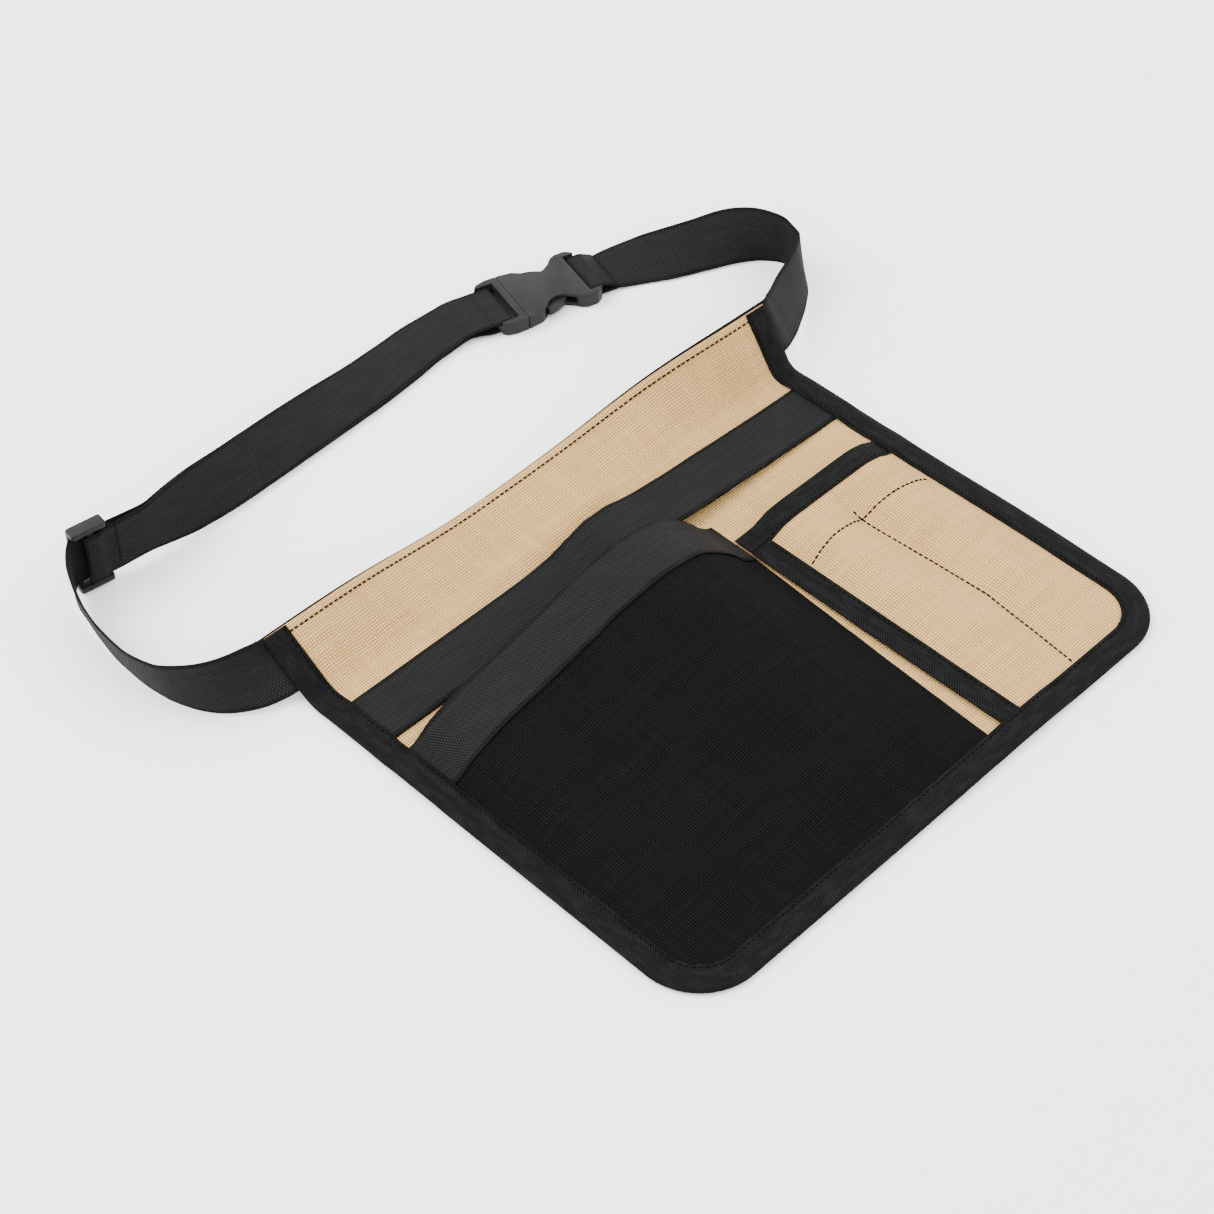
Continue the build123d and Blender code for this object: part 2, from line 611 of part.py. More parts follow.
def plug_arm(side):
    """A springy arm: a slim root, a hook that catches the window, a finger button and a blunt tip."""
    with BuildSketch(BUCKLE.offset(BAR_MID_Z - ARM_T / 2)) as outline:
        Polygon(
            (ARM_ROOT, side * 10.4), (2.0, side * 10.4), (11.5, side * 8.6), (13.6, side * 9.6),
            (13.2, side * 11.6), (9.0, side * 15.4), (4.0, side * 17.8), (0.0, side * 18.7),
            (WINDOW_FROM + 0.5, side * 18.7), (WINDOW_FROM + 0.5, side * 14.2),
            (-8.0, side * 13.4), (ARM_ROOT, side * 13.4), align=None,
        )
    extrude(outline.sketch, amount=ARM_T)


with BuildPart() as plug_arm_left:
    plug_arm(1)

with BuildPart() as plug_arm_right:
    plug_arm(-1)

# ---------------------------------------------------------------- labels and files
back_panel.part.label = "back_panel"
edge_binding.part.label = "edge_binding"
waistband_webbing.part.label = "waistband_webbing"
cross_strap.part.label = "cross_strap"
main_pocket_front.part.label = "main_pocket_front"
main_pocket_gusset.part.label = "main_pocket_gusset"
main_pocket_mouth_band.part.label = "main_pocket_mouth_band"
tool_pocket_front.part.label = "tool_pocket_front"
tool_pocket_top_binding.part.label = "tool_pocket_top_binding"
tool_pocket_side_binding.part.label = "tool_pocket_side_binding"
left_strap.part.label = "left_strap"
left_strap_end.part.label = "left_strap_end"
left_strap_return.part.label = "left_strap_return"
right_strap_loop.part.label = "right_strap_loop"
right_strap.part.label = "right_strap"
strap_slider.part.label = "strap_slider"
buckle_socket.part.label = "buckle_socket"
buckle_plug.part.label = "buckle_plug"
plug_arm_left.part.label = "plug_arm_left"
plug_arm_right.part.label = "plug_arm_right"

export_step(back_panel.part, "parts/back_panel.step")
export_step(edge_binding.part, "parts/edge_binding.step")
export_step(waistband_webbing.part, "parts/waistband_webbing.step")
export_step(cross_strap.part, "parts/cross_strap.step")
export_step(main_pocket_front.part, "parts/main_pocket_front.step")
export_step(main_pocket_gusset.part, "parts/main_pocket_gusset.step")
export_step(main_pocket_mouth_band.part, "parts/main_pocket_mouth_band.step")
export_step(tool_pocket_front.part, "parts/tool_pocket_front.step")
export_step(tool_pocket_top_binding.part, "parts/tool_pocket_top_binding.step")
export_step(tool_pocket_side_binding.part, "parts/tool_pocket_side_binding.step")
export_step(left_strap.part, "parts/left_strap.step")
export_step(left_strap_end.part, "parts/left_strap_end.step")
export_step(left_strap_return.part, "parts/left_strap_return.step")
export_step(right_strap_loop.part, "parts/right_strap_loop.step")
export_step(right_strap.part, "parts/right_strap.step")
export_step(strap_slider.part, "parts/strap_slider.step")
export_step(buckle_socket.part, "parts/buckle_socket.step")
export_step(buckle_plug.part, "parts/buckle_plug.step")
export_step(plug_arm_left.part, "parts/plug_arm_left.step")
export_step(plug_arm_right.part, "parts/plug_arm_right.step")
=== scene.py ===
import math
import random

import bmesh
import bpy
import numpy as np
from mathutils import Matrix, Vector


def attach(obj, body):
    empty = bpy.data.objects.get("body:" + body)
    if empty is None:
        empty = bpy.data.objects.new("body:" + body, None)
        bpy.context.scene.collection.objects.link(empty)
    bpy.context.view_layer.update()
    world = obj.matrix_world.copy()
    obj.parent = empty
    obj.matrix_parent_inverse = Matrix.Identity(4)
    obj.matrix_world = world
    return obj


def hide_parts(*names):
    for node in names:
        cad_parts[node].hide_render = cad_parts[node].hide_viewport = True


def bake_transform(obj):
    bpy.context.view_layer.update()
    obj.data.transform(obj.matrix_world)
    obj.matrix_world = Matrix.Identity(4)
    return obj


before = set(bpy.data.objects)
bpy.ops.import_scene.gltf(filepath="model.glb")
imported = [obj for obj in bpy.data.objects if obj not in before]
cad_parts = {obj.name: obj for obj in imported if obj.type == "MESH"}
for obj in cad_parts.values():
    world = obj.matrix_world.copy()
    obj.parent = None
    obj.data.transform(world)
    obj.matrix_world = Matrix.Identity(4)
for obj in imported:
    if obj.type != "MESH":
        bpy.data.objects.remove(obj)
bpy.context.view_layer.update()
MM = 0.001

# ------------------------------------------------------------------ sizes, millimetres
PANEL_W = 351.0
PANEL_FLAT_H = 258.0
PANEL_LEFT = -179.5
PANEL_BOTTOM = -219.26
CORNER_R = 35.0
CANVAS_T = 0.8
TAPE_T = 0.7
WEB_W = 32.0
WEB_T = 1.2
PANEL_Z = 0.7
PANEL_TOP = PANEL_Z + CANVAS_T
LAY_GAP = 0.1
LAY_Z = PANEL_TOP + LAY_GAP
BIND_W = 14.7
CURL_LEN = 46.0
CURL_BEND = 12.0
CURL_LEFT_DEG = 32.0
CURL_RIGHT_DEG = 57.0
PANEL_FULL_H = PANEL_FLAT_H + CURL_LEN
CANVAS_INSET = 1.5
CANVAS_FOOT_V = 2.0
CORNER_ROWS_TO = 36.0
WAIST_WEB_FROM = 15.5
CREASE_Y = PANEL_BOTTOM + PANEL_FLAT_H
MOUTH_V = 207.0
BAND_W = 32.0
POCKET_LEFT = 5.0
POCKET_FOOT_V = 4.0
POCKET_RISE = 40.0
POCKET_RIGHT_FOOT = 216.0
POCKET_FLARE = 10.0
FLARE_TO_V = 175.0
GUSSET_REACH = 17.0
TOOL_TOP = 191.0
TOOL_RISE = 6.5
TOOL_LEFT = 229.0
TOOL_RIGHT = 346.0
TOOL_CLOTH_T = 0.6
TOP_TAPE_W = 13.0
SIDE_TAPE_RIGHT = 241.5
LAYER_INSET = 3.0
CROSS_FROM = 218.4
CROSS_MID_V = 234.0
# the under and upper faces of what is sewn on, above the cloth that carries it
BAND_OFFSETS = (0.85, 1.75)
TOP_TAPE_OFFSETS = (0.65, 1.35)
SIDE_TAPE_OFFSETS = (0.66, 1.36)


# ------------------------------------------------------------------ camera
def set_camera():
    place = Vector((-0.6959, -0.67596, 0.9944))
    target = Vector((-0.02905, -0.01089, 0.0))
    lens_mm = 79.97
    roll = math.radians(-0.13)
    data = bpy.data.cameras.new("camera")
    data.lens = lens_mm
    data.sensor_width = 36.0
    camera = bpy.data.objects.new("camera", data)
    bpy.context.scene.collection.objects.link(camera)
    turn = (target - place).to_track_quat("-Z", "Y").to_matrix() @ Matrix.Rotation(roll, 3, "Z")
    camera.matrix_world = Matrix.Translation(place) @ turn.to_4x4()
    bpy.context.scene.camera = camera


set_camera()


# ------------------------------------------------------------------ curves through stations
def smooth_curve(knots, values):
    """A monotone cubic through the knots, which never overshoots; returns a function."""
    x = np.asarray(knots, float)
    y = np.asarray(values, float)
    gap = np.diff(x)
    slope = np.diff(y) / gap
    tangent = np.zeros(len(x))
    for i in range(1, len(x) - 1):
        if slope[i - 1] * slope[i] > 0:
            w0 = 2 * gap[i] + gap[i - 1]
            w1 = gap[i] + 2 * gap[i - 1]
            tangent[i] = (w0 + w1) / (w0 / slope[i - 1] + w1 / slope[i])
    tangent[0] = slope[0]
    tangent[-1] = slope[-1]

    def at(t):
        t = np.clip(np.asarray(t, float), x[0], x[-1])
        i = np.clip(np.searchsorted(x, t, side="right") - 1, 0, len(x) - 2)
        h = gap[i]
        s = (t - x[i]) / h
        a = (1 + 2 * s) * (1 - s) ** 2
        b = s * (1 - s) ** 2
        c = s * s * (3 - 2 * s)
        d = s * s * (s - 1)
        return a * y[i] + b * h * tangent[i] + c * y[i + 1] + d * h * tangent[i + 1]

    return at


def steps(low, high, pitch):
    return np.linspace(low, high, max(2, int(round((high - low) / pitch)) + 1))


def unit(v):
    return v / np.maximum(np.linalg.norm(v, axis=-1, keepdims=True), 1e-9)


def averaged(values, reach):
    """A running mean over the neighbours within reach."""
    count = 2 * reach + 1
    return np.convolve(np.pad(values, reach, mode="edge"), np.ones(count) / count, mode="valid")


def hump(distance, width):
    return np.exp(-(distance / width) ** 2)


# ------------------------------------------------------------------ meshes
def make_object(name, points, faces, uvs, material, body="pouch"):
    """points in millimetres; uvs holds one (x, y) in millimetres for each corner of each face."""
    mesh = bpy.data.meshes.new(name)
    mesh.from_pydata([tuple(p) for p in np.asarray(points, float) * MM], [], faces)
    cloth_map = mesh.uv_layers.new(name="cloth")
    cloth_map.data.foreach_set("uv", np.asarray([c for face in uvs for c in face], np.float32).reshape(-1))
    mesh.materials.append(material)
    mesh.polygons.foreach_set("use_smooth", [True] * len(mesh.polygons))
    bm = bmesh.new()
    bm.from_mesh(mesh)
    bmesh.ops.recalc_face_normals(bm, faces=bm.faces)
    bm.to_mesh(mesh)
    bm.free()
    obj = bpy.data.objects.new(name, mesh)
    bpy.context.scene.collection.objects.link(obj)
    if body:
        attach(obj, body)
    return obj


def grid_normals(base):
    du = np.gradient(base, axis=1)
    dv = np.gradient(base, axis=0)
    return unit(np.cross(du, dv))


RIM_BULGE = 0.42


def layer(name, base, uv, low, high, material, slot):
    """A closed sheet between two offsets of a surface, with rounded rims."""
    rows, cols = base.shape[:2]
    n = grid_normals(base)
    top = base + n * high
    bottom = base + n * low
    ring = [(0, j) for j in range(cols)] + [(i, cols - 1) for i in range(1, rows)]
    ring += [(rows - 1, j) for j in range(cols - 2, -1, -1)] + [(i, 0) for i in range(rows - 2, 0, -1)]
    points = list(top.reshape(-1, 3)) + list(bottom.reshape(-1, 3))
    rim_at = len(points)
    for i, j in ring:
        inner_i = min(max(i, 1), rows - 2)
        inner_j = min(max(j, 1), cols - 2)
        out = unit(base[i, j] - base[inner_i, inner_j])
        thick = np.linalg.norm(top[i, j] - bottom[i, j])
        points.append((top[i, j] + bottom[i, j]) / 2 + out * thick * RIM_BULGE)
    faces, uvs = [], []
    size = rows * cols

    def idx(i, j):
        return i * cols + j

    for i in range(rows - 1):
        for j in range(cols - 1):
            corners = [(i, j), (i, j + 1), (i + 1, j + 1), (i + 1, j)]
            faces.append([idx(*c) for c in corners])
            uvs.append([uv[c] for c in corners])
            faces.append([size + idx(*c) for c in reversed(corners)])
            uvs.append([uv[c] for c in reversed(corners)])
    for k, a in enumerate(ring):
        following = (k + 1) % len(ring)
        b = ring[following]
        ra, rb = rim_at + k, rim_at + following
        faces.append([idx(*a), ra, rb, idx(*b)])
        uvs.append([uv[a], uv[a], uv[b], uv[b]])
        faces.append([ra, size + idx(*a), size + idx(*b), rb])
        uvs.append([uv[a], uv[a], uv[b], uv[b]])
    return make_object(name, points, faces, uvs, material)


def arc_uv(base, across_from=0.0):
    """Flat coordinates of a grid: the length along each row and along the middle column."""
    along = np.linalg.norm(np.diff(base, axis=1), axis=-1)
    x = np.concatenate([np.zeros((base.shape[0], 1)), np.cumsum(along, axis=1)], axis=1) + across_from
    middle = base[:, base.shape[1] // 2]
    y = np.concatenate([[0], np.cumsum(np.linalg.norm(np.diff(middle, axis=0), axis=-1))])
    return np.stack([x, np.broadcast_to(y[:, None], x.shape)], axis=-1)


def tube_faces(rings, per_ring):
    """Faces of a tube of rings in order, closed at both ends."""
    faces = []
    for r in range(rings - 1):
        here, ahead = r * per_ring, (r + 1) * per_ring
        for k in range(per_ring):
            k2 = (k + 1) % per_ring
            faces.append([here + k, here + k2, ahead + k2, ahead + k])
    last = (rings - 1) * per_ring
    faces.append(list(range(per_ring))[::-1])
    faces.append([last + k for k in range(per_ring)])
    return faces


# ------------------------------------------------------------------ shader values
class Value:
    """A number in a material's node tree; arithmetic on it adds nodes."""

    def __init__(self, tree, socket):
        self.tree = tree
        self.socket = socket

    def math(self, kind, *terms, clamp=False):
        node = self.tree.nodes.new("ShaderNodeMath")
        node.operation = kind
        node.use_clamp = clamp
        for slot_in, term in zip(node.inputs, terms):
            if isinstance(term, Value):
                self.tree.links.new(term.socket, slot_in)
            else:
                slot_in.default_value = term
        return Value(self.tree, node.outputs[0])

    def __add__(self, other):
        return self.math("ADD", self, other)

    __radd__ = __add__

    def __sub__(self, other):
        return self.math("SUBTRACT", self, other)

    def __rsub__(self, other):
        return self.math("SUBTRACT", other, self)

    def __mul__(self, other):
        return self.math("MULTIPLY", self, other)

    __rmul__ = __mul__

    def __truediv__(self, other):
        return self.math("DIVIDE", self, other)

    def __rtruediv__(self, other):
        return self.math("DIVIDE", other, self)

    def __pow__(self, other):
        return self.math("POWER", self, other)

    def __rpow__(self, other):
        return self.math("POWER", other, self)

    def __mod__(self, other):
        return self.math("FLOORED_MODULO", self, other)

    def __rmod__(self, other):
        return self.math("FLOORED_MODULO", other, self)

    def __neg__(self):
        return self * -1.0

    def __abs__(self):
        return self.math("ABSOLUTE", self)

    def sin(self):
        return self.math("SINE", self)

    def floor(self):
        return self.math("FLOOR", self)

    def clamp(self):
        return self.math("ADD", self, 0.0, clamp=True)

    def over(self, edge):
        return self.math("GREATER_THAN", self, edge)

    def ramp(self, low, high):
        """0 below low, 1 above high, eased between."""
        t = ((self - low) * (1.0 / (high - low))).clamp()
        return t * t * (3.0 - 2.0 * t)


class Finish:
    """A material's tree, with its coordinates, noise, colour mixes and shader."""

    def __init__(self, name, **constants):
        self.material = bpy.data.materials.new(name)
        self.material.use_nodes = True
        self.tree = self.material.node_tree
        self.tree.nodes.clear()
        self.shader = self.add("ShaderNodeBsdfPrincipled")
        out = self.add("ShaderNodeOutputMaterial")
        self.tree.links.new(self.shader.outputs["BSDF"], out.inputs["Surface"])
        for key, value in constants.items():
            self.shader.inputs[key.replace("_", " ")].default_value = value

    def add(self, kind, **settings):
        node = self.tree.nodes.new(kind)
        for key, value in settings.items():
            setattr(node, key, value)
        return node

    def wire(self, source, target):
        self.tree.links.new(source.socket if isinstance(source, Value) else source, target)

    def cloth_place(self):
        """The piece's own flat coordinates, in millimetres."""
        uv = self.add("ShaderNodeUVMap", uv_map="cloth")
        split = self.add("ShaderNodeSeparateXYZ")
        self.wire(uv.outputs["UV"], split.inputs[0])
        return Value(self.tree, split.outputs["X"]), Value(self.tree, split.outputs["Y"])

    def solid_place(self):
        return self.add("ShaderNodeTexCoord").outputs["Object"]

    def vector(self, x, y, z=0.0):
        join = self.add("ShaderNodeCombineXYZ")
        for socket, term in zip(join.inputs, (x, y, z)):
            if isinstance(term, Value):
                self.wire(term, socket)
            else:
                socket.default_value = term
        return join.outputs[0]

    def noise(self, place, scale, detail=3.0, roughness=0.55):
        node = self.add("ShaderNodeTexNoise")
        node.inputs["Scale"].default_value = scale
        node.inputs["Detail"].default_value = detail
        node.inputs["Roughness"].default_value = roughness
        self.wire(place, node.inputs["Vector"])
        return Value(self.tree, node.outputs["Fac"])

    def blend_colours(self, factor, a, b):
        node = self.add("ShaderNodeMix", data_type="RGBA")
        self.wire(factor, node.inputs["Factor"])
        for socket, colour in ((node.inputs[6], a), (node.inputs[7], b)):
            if isinstance(colour, tuple):
                socket.default_value = (*colour, 1.0)
            else:
                self.wire(colour, socket)
        return node.outputs[2]

    def surface(self, colour, roughness, height, depth_mm, strength=1.0):
        self.wire(colour, self.shader.inputs["Base Color"])
        self.wire(roughness, self.shader.inputs["Roughness"])
        bump = self.add("ShaderNodeBump")
        bump.inputs["Strength"].default_value = strength
        bump.inputs["Distance"].default_value = depth_mm * MM
        self.wire(height, bump.inputs["Height"])
        self.wire(bump.outputs["Normal"], self.shader.inputs["Normal"])
        return self.material


def canvas_weave(finish, pitch):
    """Plain weave: threads over and under at each crossing; returns height, thread tone and place."""
    x, y = finish.cloth_place()
    wobble = finish.noise(finish.vector(x, y), 0.055, 2.0) - 0.5
    fine = finish.noise(finish.vector(x, y), 0.6, 2.0) - 0.5
    u = x + wobble * 2.4 + fine * 0.25
    v = y + wobble * 2.0 - fine * 0.25
    turn = math.pi / pitch
    crossing = (u * turn).sin() * (v * turn).sin()
    crown = abs(crossing) ** 0.6
    warp_up = crossing.over(0.0)
    warp_tone = finish.noise(finish.vector((u / pitch).floor() * 3.7, v * 0.02), 1.0, 1.0)
    weft_tone = finish.noise(finish.vector(u * 0.02, (v / pitch).floor() * 3.1, 7.0), 1.0, 1.0)
    tone = warp_tone * warp_up + weft_tone * (1.0 - warp_up)
    fibre = finish.noise(finish.vector(x * 4.0, y * 4.0), 1.0, 3.0)
    return crown * (0.82 + 0.18 * warp_up) + fibre * 0.25, tone, x, y


def canvas_finish(name, gap, body, crown_colour, pitch, depth, stain=0.1, **constants):
    finish = Finish(name, **constants)
    height, tone, x, y = canvas_weave(finish, pitch)
    # painted shade and painted highlight: by bump height the colour runs from gap in the weave's hollows to
    # body on the thread tops
    shade = (height * 1.5 - 0.42).clamp()
    cloud = finish.noise(finish.vector(x, y), 0.018, 4.0, 0.6)
    base = finish.blend_colours(shade, gap, body)
    base = finish.blend_colours(((tone - 0.35) * 1.4).clamp() * 0.6, base, crown_colour)
    # the gap colour is reused here for the random cloudy stains
    base = finish.blend_colours((cloud - 0.42).ramp(0.0, 0.3) * stain, base, gap)
    rough = 0.78 + 0.16 * (1.0 - shade)
    return finish.surface(base, rough, height, depth)


def webbing_finish(name, dark, body, crown_colour):
    """Flat woven webbing: ribs across the width, cut into short floats by the warp, flatter selvedges."""
    pitch, warp_pitch, selvedge = 1.4, 1.5, 2.4
    finish = Finish(name, Sheen_Weight=0.0, Sheen_Roughness=0.45, Specular_IOR_Level=0.04)
    s, t = finish.cloth_place()
    jitter = finish.noise(finish.vector(s * 0.2, t * 0.2), 1.0, 2.0) - 0.5
    turn = math.pi / pitch
    column = (t / warp_pitch).floor()
    stagger = (column % 2.0) * pitch * 0.5
    rib = abs(((s + jitter * 0.3 + stagger) * turn).sin())
    warp = abs((t * (math.pi / warp_pitch)).sin())
    height = (rib ** 0.7) * 0.72 + (warp ** 0.5) * 0.28
    edge = (abs(t - WEB_W / 2) - (WEB_W / 2 - selvedge)).ramp(0.0, 0.5)
    height = height * (1.0 - edge * 0.35)
    tone = finish.noise(finish.vector(s * 0.05, column * 2.3), 1.0, 2.0)
    wide = finish.noise(finish.vector(s * 0.012, t * 0.03), 1.0, 3.0)
    # painted shade and painted highlight: by bump height the colour runs from dark between the ribs to body
    # on their crowns
    base = finish.blend_colours((height * 1.7 - 0.55).clamp(), dark, body)
    base = finish.blend_colours((tone - 0.3).ramp(0.0, 0.5) * 0.3, base, crown_colour)
    # dark is reused here for broad random streaks
    base = finish.blend_colours(wide.ramp(0.45, 0.75) * 0.1, base, dark)
    return finish.surface(base, 0.55 + 0.25 * (1.0 - height), height, 0.6)


def tape_finish(name, dark, body, crown_colour):
    """Binding tape: a herringbone twill of fine slanted ribs."""
    herringbone, rib_pitch, cut_pitch = 12.0, 1.6, 0.9
    finish = Finish(name, Sheen_Weight=0.0, Sheen_Roughness=0.5, Specular_IOR_Level=0.04)
    s, t = finish.cloth_place()
    lean = abs((t % herringbone) - herringbone / 2)
    slant = s + lean * 0.85
    rib = abs((slant * (math.pi / rib_pitch)).sin())
    cut = abs((t * (math.pi / cut_pitch)).sin())
    height = (rib ** 0.7) * 0.8 + cut * 0.2
    tone = finish.noise(finish.vector(s * 0.08, t * 0.3), 1.0, 3.0)
    # painted shade and painted highlight: by bump height the colour runs from dark in the twill's grooves to
    # body on its ribs
    base = finish.blend_colours((height * 1.6 - 0.5).clamp(), dark, body)
    base = finish.blend_colours(tone.ramp(0.4, 0.7) * 0.4, base, crown_colour)
    return finish.surface(base, 0.62 + 0.25 * (1.0 - height), height, 0.45)


def thread_finish(name, dark, body):
    """Sewing thread: two plies twisted round each other."""
    finish = Finish(name, Specular_IOR_Level=0.03)
    s, t = finish.cloth_place()
    twist = abs(((s * 1.7 + t * 2.0) * math.pi).sin())
    fuzz = finish.noise(finish.vector(s * 3.0, t * 3.0), 1.0, 2.0)
    # painted shade and painted highlight: the twist that makes the bump colours the grooves between the
    # plies dark and the ply crowns body
    base = finish.blend_colours((twist * 0.8 + fuzz * 0.4 - 0.2).clamp(), dark, body)
    return finish.surface(base, 0.6 + 0.2 * fuzz, twist, 0.05)


def moulded_finish(name, body, worn):
    """Moulded acetal: a fine eroded grain and faint cloudy flow marks."""
    finish = Finish(name, Specular_IOR_Level=0.16)
    place = finish.solid_place()
    grain = finish.noise(place, 2600.0, 3.0, 0.6)
    mottle = finish.noise(place, 180.0, 3.0, 0.5)
    base = finish.blend_colours(mottle.ramp(0.42, 0.7) * 0.5 + grain * 0.15, body, worn)
    return finish.surface(base, 0.36 + 0.16 * mottle + 0.1 * grain, grain, 0.04, 0.5)


# the first colour of each canvas is painted shade for the weave's hollows, also used for its cloudy stains
TAN = canvas_finish(
    "tan_canvas", (0.22, 0.112, 0.030), (0.60, 0.375, 0.143), (0.73, 0.49, 0.21), 1.55, 0.5,
    Sheen_Weight=0.05, Specular_IOR_Level=0.1)
BLACK = canvas_finish(
    "black_canvas", (0.0003, 0.0003, 0.0003), (0.0055, 0.0055, 0.0057), (0.0095, 0.0095, 0.0096), 1.4, 0.4,
    Sheen_Weight=0.0, Sheen_Roughness=0.5, Specular_IOR_Level=0.03)
# the first colour is painted shade between the ribs, also used for broad streaks
WEBBING = webbing_finish(
    "belt_webbing", (0.0001, 0.0001, 0.0001), (0.0125, 0.0125, 0.0129), (0.018, 0.018, 0.0183))
# the first colour is painted shade between the twill's ribs
TAPE = tape_finish(
    "binding_twill", (0.0002, 0.0002, 0.0002), (0.0065, 0.0065, 0.0067), (0.013, 0.013, 0.0132))
# the first colour is painted shade in the grooves between the plies
THREAD = thread_finish("black_thread", (0.0002, 0.0002, 0.0002), (0.0018, 0.0018, 0.002))
PLASTIC = moulded_finish("buckle_acetal", (0.006, 0.006, 0.0062), (0.012, 0.012, 0.0124))


# ------------------------------------------------------------------ the panel's shape
def gx(u):
    return PANEL_LEFT + u


def gy(v):
    return PANEL_BOTTOM + v


def corner_inset(v, inset):
    """How far the round bottom corners take the side in at height v."""
    radius = CORNER_R - inset
    down = np.clip(CORNER_R - np.asarray(v, float), 0, radius)
    return inset + radius - np.sqrt(np.maximum(radius ** 2 - down ** 2, 0))


def drape(u, v):
    """The gentle lift of the laid panel off the ground."""
    u = np.asarray(u, float)
    v = np.asarray(v, float)
    wrinkle = 0.7 * hump(u - 178, 26) * hump(v - 232, 20)
    ridge = 3.2 * hump(u - 150, 55) * hump(v - 262 - (u - 150) * 0.06, 7.5)
    pucker = 2.2 * hump(u - 196, 14) * hump(v - 268, 12)
    right_wave = 1.2 * hump(v - 95, 48) * hump(u - 352, 60)
    foot_wave = 1.0 * hump(u - 215, 45) * hump(v, 45)
    return wrinkle + ridge + pucker + right_wave + foot_wave


def curl_degrees(u):
    """The waist stands up less in its middle, where it sags between the belt's two ends."""
    sag_deg, sag_centre, sag_reach = 32.0, 175.0, 105.0
    sag = sag_deg * np.exp(-np.abs((u - sag_centre) / sag_reach) ** 3)
    return CURL_LEFT_DEG + (CURL_RIGHT_DEG - CURL_LEFT_DEG) * u / PANEL_W - sag


def panel_point(u, v, off=0.0):
    """A point on the panel's surface, its top curled up from the crease; off is above the underside."""
    u = np.asarray(u, float)
    v = np.asarray(v, float)
    curl_v = np.clip(v - PANEL_FLAT_H, 0, None)
    full = np.radians(curl_degrees(u))
    radius = CURL_BEND / full
    turn = full * np.minimum(curl_v, CURL_BEND) / CURL_BEND
    past = np.clip(curl_v - CURL_BEND, 0, None)
    y = np.where(v < PANEL_FLAT_H, gy(v), CREASE_Y + radius * np.sin(turn) + past * np.cos(full))
    z = radius * (1 - np.cos(turn)) + past * np.sin(full) + drape(u, v)
    x = gx(u) + 0 * v
    return np.stack([x, y - off * np.sin(turn), z + off * np.cos(turn)], axis=-1)


def panel_patch(u_low, u_high, v_values, pitch, off):
    """A grid on the panel, its rows between two functions of v."""
    rows, flat = [], []
    lows, highs = u_low(v_values), u_high(v_values)
    cols = int(round(np.max(highs - lows) / pitch)) + 1
    share = np.linspace(0, 1, cols)
    for v, low, high in zip(v_values, lows, highs):
        u = low + (high - low) * share
        rows.append(panel_point(u, v, off))
        flat.append(np.stack([u, np.full(cols, v)], axis=-1))
    return np.array(rows), np.array(flat)


panel_v = np.concatenate([
    steps(CANVAS_FOOT_V, CORNER_ROWS_TO, 1.5)[:-1], steps(CORNER_ROWS_TO, PANEL_FULL_H, 2.5)])
panel_base, panel_flat = panel_patch(
    lambda v: corner_inset(v, CANVAS_INSET), lambda v: PANEL_W - corner_inset(v, CANVAS_INSET),
    panel_v, 2.6, PANEL_Z)
panel_canvas = layer("panel_canvas", panel_base, panel_flat, 0.0, CANVAS_T, TAN, "canvas_tan")
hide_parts("back_panel")


# ------------------------------------------------------------------ pockets
# knots across the pocket, in millimetres: from the panel's left side, and back from the pocket's right side
FRONT_ARCH = [
    (5.0, 0.0), (15.4, 0.002), (30.0, 0.23), (50.0, 0.42), (76.0, 0.57), (104.0, 0.74), (131.0, 0.92),
    (159.0, 1.0), (181.0, 0.92), (197.0, 0.66), (209.0, 0.38),
]
GUSSET_FALL = [(10.5, 0.19), (4.25, 0.05), (0.0, 0.0), (-9.0, 0.0)]
pocket_swell = smooth_curve(
    [0.0, 5.0, 14.7, 40.0, 75.0, 110.0, 145.0, 175.0, 210.0],
    [0.003, 0.004, 0.006, 0.22, 0.46, 0.68, 0.86, 0.96, 1.0])


def pocket_right(v):
    return POCKET_RIGHT_FOOT + POCKET_FLARE * np.minimum(v, FLARE_TO_V) / FLARE_TO_V


def pocket_height(u, v):
    """How far the main pocket's cloth stands above the panel at u, v."""
    right = float(pocket_right(v))
    stretch = (right - GUSSET_REACH) / (POCKET_RIGHT_FOOT + POCKET_FLARE - GUSSET_REACH)
    knots = [POCKET_LEFT + (k - POCKET_LEFT) * stretch for k, s in FRONT_ARCH]
    knots += [right - g for g, s in GUSSET_FALL]
    shares = [s for k, s in FRONT_ARCH + GUSSET_FALL]
    return POCKET_RISE * float(pocket_swell(v)) * smooth_curve(knots, shares)(u)


POCKET_COLUMNS = 102


def pocket_patch(v_values, overhang):
    rows = []
    for v in v_values:
        left = max(POCKET_LEFT, float(corner_inset(v, LAYER_INSET)))
        u = np.linspace(left, float(pocket_right(v)) + overhang, POCKET_COLUMNS)
        z = LAY_Z + pocket_height(u, v) + drape(u, v)
        rows.append(np.stack([gx(u), np.full(len(u), gy(v)), z], axis=-1))
    return np.array(rows)


pocket_v = np.concatenate([
    steps(POCKET_FOOT_V, CORNER_ROWS_TO, 2.0)[:-1], steps(CORNER_ROWS_TO, MOUTH_V, 2.6)])
pocket_base = pocket_patch(pocket_v, 0.8)
pocket_flat = arc_uv(pocket_base)
pocket_cloth = layer("main_pocket_cloth", pocket_base, pocket_flat, 0.0, CANVAS_T, BLACK, "canvas_black")
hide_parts("main_pocket_front", "main_pocket_gusset")

band_top = MOUTH_V + 1.0
band_base = pocket_patch(steps(band_top - BAND_W, band_top, 2.0), 0.5)
mouth_band = layer(
    "main_pocket_mouth_webbing", band_base, arc_uv(band_base), *BAND_OFFSETS, WEBBING, "webbing")
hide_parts("main_pocket_mouth_band")

